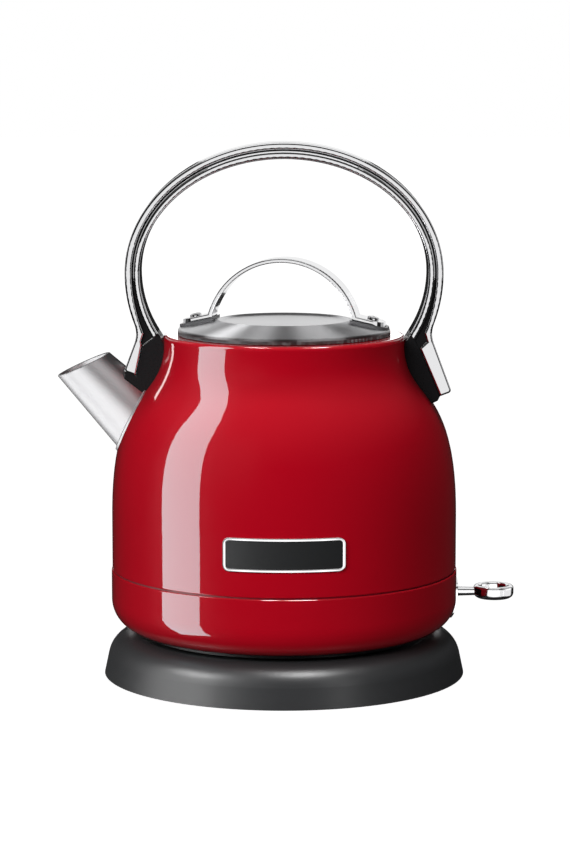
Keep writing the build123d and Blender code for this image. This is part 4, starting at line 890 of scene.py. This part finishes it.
def all_pieces():
    """The CAD nodes and the pieces modelled here."""
    return [piece for piece in bpy.data.objects if piece.type == "MESH" and piece.data.materials]


def wearing(*names):
    """The pieces that have one of these finishes."""
    finishes = [finish_of(name) for name in names]
    return [piece for piece in all_pieces() if piece.data.materials[0] in finishes]


def group_of(name, pieces):
    """A collection of pieces that lights can be limited to."""
    collection = bpy.data.collections.new(name)
    for piece in pieces:
        collection.objects.link(piece)
    return collection


def studio_world(fill):
    """White behind the kettle, a soft fill for its colours, and a dim sky for its reflections."""
    world = bpy.data.worlds.new("studio")
    bpy.context.scene.world = world
    world.use_nodes = True
    tree = world.node_tree
    back = tree.nodes["Background"]
    path = add_node(tree, "ShaderNodeLightPath")
    source = add_node(tree, "ShaderNodeTexCoord")
    parts = add_node(tree, "ShaderNodeSeparateXYZ")
    tree.links.new(source.outputs["Generated"], parts.inputs["Vector"])
    sky = between(tree, parts.outputs["Z"], low=0.015, high=0.13, start=0.3, end=0.95)
    dim = add_node(tree, "ShaderNodeMix", data_type="FLOAT")
    tree.links.new(path.outputs["Is Diffuse Ray"], dim.inputs["Factor"])
    tree.links.new(sky, dim.inputs["A"])
    dim.inputs["B"].default_value = fill
    seen = add_node(tree, "ShaderNodeMix", data_type="FLOAT")
    tree.links.new(path.outputs["Is Camera Ray"], seen.inputs["Factor"])
    tree.links.new(dim.outputs["Result"], seen.inputs["A"])
    seen.inputs["B"].default_value = 1.0
    back.inputs["Color"].default_value = (1.0, 1.0, 1.0, 1.0)
    tree.links.new(seen.outputs["Result"], back.inputs["Strength"])


def pale_floor():
    """A plain pale floor that runs out into the white behind."""
    clear_selection()
    bpy.ops.mesh.primitive_grid_add(
        x_subdivisions=12, y_subdivisions=12, size=12.0, location=(0.0, 0.0, 0.0)
    )
    floor = bpy.context.active_object
    floor.name = "floor"
    material, tree, shader = new_finish("pale_floor")
    cloud = grain(tree, place_of(tree), 3.0)
    wire(tree, tinted(tree, cloud, (0.88, 0.88, 0.88), (0.9, 0.9, 0.9)), shader, "Base Color")
    shader.inputs["Roughness"].default_value = 0.9
    shader.inputs["Specular IOR Level"].default_value = 0.0
    shader.inputs["Emission Color"].default_value = (1.0, 1.0, 1.0, 1.0)
    shader.inputs["Emission Strength"].default_value = 1.0
    floor.data.materials.append(material)
    floor.visible_glossy = False
    floor.visible_diffuse = False
    floor.visible_shadow = False


def light_paint(stage, enamel, others):
    """Lights for the enamel and for all that isn't bare or plated metal."""
    enamelled = group_of("enamelled_pieces", enamel)
    housing = group_of("housing", [frame["nodes"]["lower_housing"]])
    mouldings = group_of("mouldings", others)
    painted = group_of("painted_pieces", enamel + others)
    leaning_panel("strip_light", 1.2, STRIP_ROWS, stage.strip_glow, enamelled, stage.strip_tint)
    left = around(-68.0, 1.25, 0.4)
    softbox("base_strip", left, MIDDLE, (0.55, 1.6), stage.base_strip, mouldings, diffuse=False)
    leaning_panel("edge_light", 0.09, EDGE_ROWS, stage.edge_glow, enamelled)
    for name, azimuth, width in (("lip_light_left", -13.0, 0.2), ("lip_light_right", 16.0, 0.35)):
        high = around(azimuth, 0.8, 1.2)
        softbox(name, high, MIDDLE, (width, 0.7), stage.lip_glow, housing, diffuse=False)
    key = around(-35.0, 1.8, 0.83)
    softbox("key_light", key, MIDDLE, (1.0, 1.0), stage.key_glow, painted, glossy=False)
    right = around(42.0, 1.8, 0.6)
    softbox("fill_light", right, MIDDLE, (1.0, 1.0), stage.fill_glow, painted, glossy=False)
    softbox("top_light_right", (0.35, 0.25, 1.5), MIDDLE, (0.25, 0.25), stage.top_glow, painted)
    softbox("top_light_left", (-0.25, 0.3, 1.5), MIDDLE, (0.2, 0.2), stage.top_glow, painted)
    back = (0.0, 1.5, 0.45)
    level = (0.0, 0.0, 0.45)
    softbox("backdrop_light", back, level, (0.5, 0.5), stage.backdrop_glow, painted, diffuse=False)


def light_base(stage):
    """Lights that only the power base mirrors, on its crest and on its side."""
    base = group_of("base_mouldings", wearing("base_plastic"))
    high = around(25.0, 0.7, 1.9)
    softbox("crest_light", high, MIDDLE, (0.5, 0.5), stage.crest_glow, base, diffuse=False)
    right = around(36.0, 1.5, 0.7)
    softbox("base_light", right, MIDDLE, (0.4, 1.2), stage.base_glow, base, diffuse=False)


def light_trim(stage):
    """Panels round the plated trim: bright ones for the photograph's view, dim ones for other views."""
    trim = group_of("plated_trim", wearing("chrome", "small_chrome"))
    strap = group_of("lid_strap", [frame["nodes"]["lid_handle"]])
    small_trim = group_of("small_trim", [frame["nodes"][name] for name in SMALL_TRIM])
    bright = stage.trim_glow
    dim = stage.dim_glow
    lever = (0.1, 0.0, 0.05)
    softbox("trim_back", (0.0, 1.5, 0.9), (0.0, 0.0, 0.9), (3.0, 1.3), bright, trim)
    softbox("strap_back", (0.0, 1.5, 0.1), MIDDLE, (3.0, 0.5), bright, strap)
    softbox("trim_front", (0.0, -1.6, -0.15), (0.0, 0.0, -0.1), (2.0, 0.9), bright, trim)
    softbox("trim_top", (0.0, -0.2, 1.3), MIDDLE, (1.2, 0.8), bright, trim)
    softbox("trim_high", (0.0, 0.9, 2.0), MIDDLE, (3.0, 1.6), dim, trim)
    softbox("trim_left", (-1.8, 0.3, 0.9), MIDDLE, (2.0, 2.2), dim, trim)
    softbox("trim_right", (1.8, 0.3, 0.9), MIDDLE, (2.0, 2.2), dim, trim)
    softbox("trim_wide", (0.1, -1.0, -0.05), lever, (3.0, 1.6), bright, small_trim)
    softbox("trim_side", (1.6, -0.1, -0.05), lever, (1.8, 1.6), bright, small_trim)


def light_lid(stage):
    """Panels that only the spun lid sees."""
    lid = group_of("spun_lid", wearing("spun_steel"))
    bright = stage.steel_glow
    aim = (0.0, 0.0, 0.2)
    softbox("lid_back", (0.0, 1.5, 0.6), aim, (3.0, 1.2), 0.75 * bright, lid)
    softbox("lid_strip", around(-77.0, 1.2, 0.6), aim, (0.6, 0.8), 7.5 * bright, lid)
    softbox("lid_left", around(-31.0, 1.2, 0.75), aim, (0.7, 0.8), 2.8 * bright, lid)
    softbox("lid_right", around(44.0, 1.2, 0.75), aim, (1.2, 0.8), 2.8 * bright, lid)


def light_spout(stage):
    """Panels that only the brushed spout and its bead see."""
    spout = group_of("brushed_spout", wearing("brushed_steel"))
    bright = stage.steel_glow
    mouth = (-0.09, 0.0, 0.13)
    softbox("spout_front", around(-35.0, 1.3, -0.35), MIDDLE, (3.0, 1.8), 1.4 * bright, spout)
    softbox("spout_low", around(-85.0, 1.0, -0.75), mouth, (1.8, 1.6), 1.3 * bright, spout)
    softbox("spout_back", (-0.7, 1.5, 0.35), (-0.7, 0.0, 0.35), (1.0, 0.5), bright, spout)
    softbox("spout_side", around(40.0, 1.3, 0.9), MIDDLE, (1.3, 1.3), 0.8 * bright, spout)


def set_camera(stage):
    """The camera at the photograph's view, with colours shown as they are."""
    clear_selection()
    bpy.ops.object.camera_add(
        location=stage.camera_place, rotation=(math.pi / 2 - stage.camera_tilt, 0.0, 0.0)
    )
    camera = bpy.context.active_object
    camera.name = "camera"
    camera.data.lens = stage.camera_lens
    camera.data.sensor_width = 36.0
    camera.data.clip_end = 50.0
    bpy.context.scene.camera = camera
    bpy.context.scene.view_settings.view_transform = "Standard"


class KETTLE_OT_stage(bpy.types.Operator):
    """Sets up the floor, the studio lights and the camera at the photograph's view"""

    bl_idname = "kettle.stage"
    bl_label = "Set the stage"

    def execute(self, context):
        stage = context.scene.kettle_stage
        enamel = wearing("red_enamel")
        metal = wearing("chrome", "small_chrome", "brushed_steel", "spun_steel")
        others = [piece for piece in all_pieces() if piece not in metal and piece not in enamel]
        pale_floor()
        studio_world(stage.fill)
        light_paint(stage, enamel, others)
        light_base(stage)
        light_trim(stage)
        light_lid(stage)
        light_spout(stage)
        for name in UNMIRRORED:
            frame["nodes"][name].visible_glossy = False
        set_camera(stage)
        return {"FINISHED"}


class KETTLE_PT_panel(bpy.types.Panel):
    """Lists the kettle's steps in the sidebar"""

    bl_idname = "KETTLE_PT_panel"
    bl_label = "Kettle"
    bl_space_type = "VIEW_3D"
    bl_region_type = "UI"
    bl_category = "Kettle"

    def draw(self, context):
        for step in STEPS:
            self.layout.operator(step.bl_idname)
        for group in ("kettle_finishes", "kettle_sizes", "kettle_stage"):
            settings = getattr(context.scene, group)
            column = self.layout.column()
            for name in settings.bl_rna.properties.keys():
                if name not in ("rna_type", "name"):
                    column.prop(settings, name)


GROUPS = (KettleFinishes, KettleSizes, KettleStage)
STEPS = (
    KETTLE_OT_enamel,
    KETTLE_OT_power_base,
    KETTLE_OT_spout_and_lid,
    KETTLE_OT_chrome,
    KETTLE_OT_black_mouldings,
    KETTLE_OT_inner_parts,
    KETTLE_OT_lid_screws,
    KETTLE_OT_handle_screws,
    KETTLE_OT_underside_screws,
    KETTLE_OT_stage,
)


def register():
    for item in GROUPS + STEPS + (KETTLE_PT_panel,):
        bpy.utils.register_class(item)
    bpy.types.Scene.kettle_finishes = PointerProperty(type=KettleFinishes)
    bpy.types.Scene.kettle_sizes = PointerProperty(type=KettleSizes)
    bpy.types.Scene.kettle_stage = PointerProperty(type=KettleStage)


def unregister():
    del bpy.types.Scene.kettle_stage
    del bpy.types.Scene.kettle_sizes
    del bpy.types.Scene.kettle_finishes
    for item in reversed(GROUPS + STEPS + (KETTLE_PT_panel,)):
        bpy.utils.unregister_class(item)


def main():
    """Builds the looks step by step."""
    register()
    clear_selection()
    bpy.ops.kettle.enamel()
    bpy.ops.kettle.power_base()
    bpy.ops.kettle.spout_and_lid()
    bpy.ops.kettle.chrome()
    bpy.ops.kettle.black_mouldings()
    bpy.ops.kettle.inner_parts()
    bpy.ops.kettle.lid_screws()
    bpy.ops.kettle.handle_screws()
    bpy.ops.kettle.underside_screws()
    bpy.ops.kettle.stage()


if __name__ == "__main__":
    main()
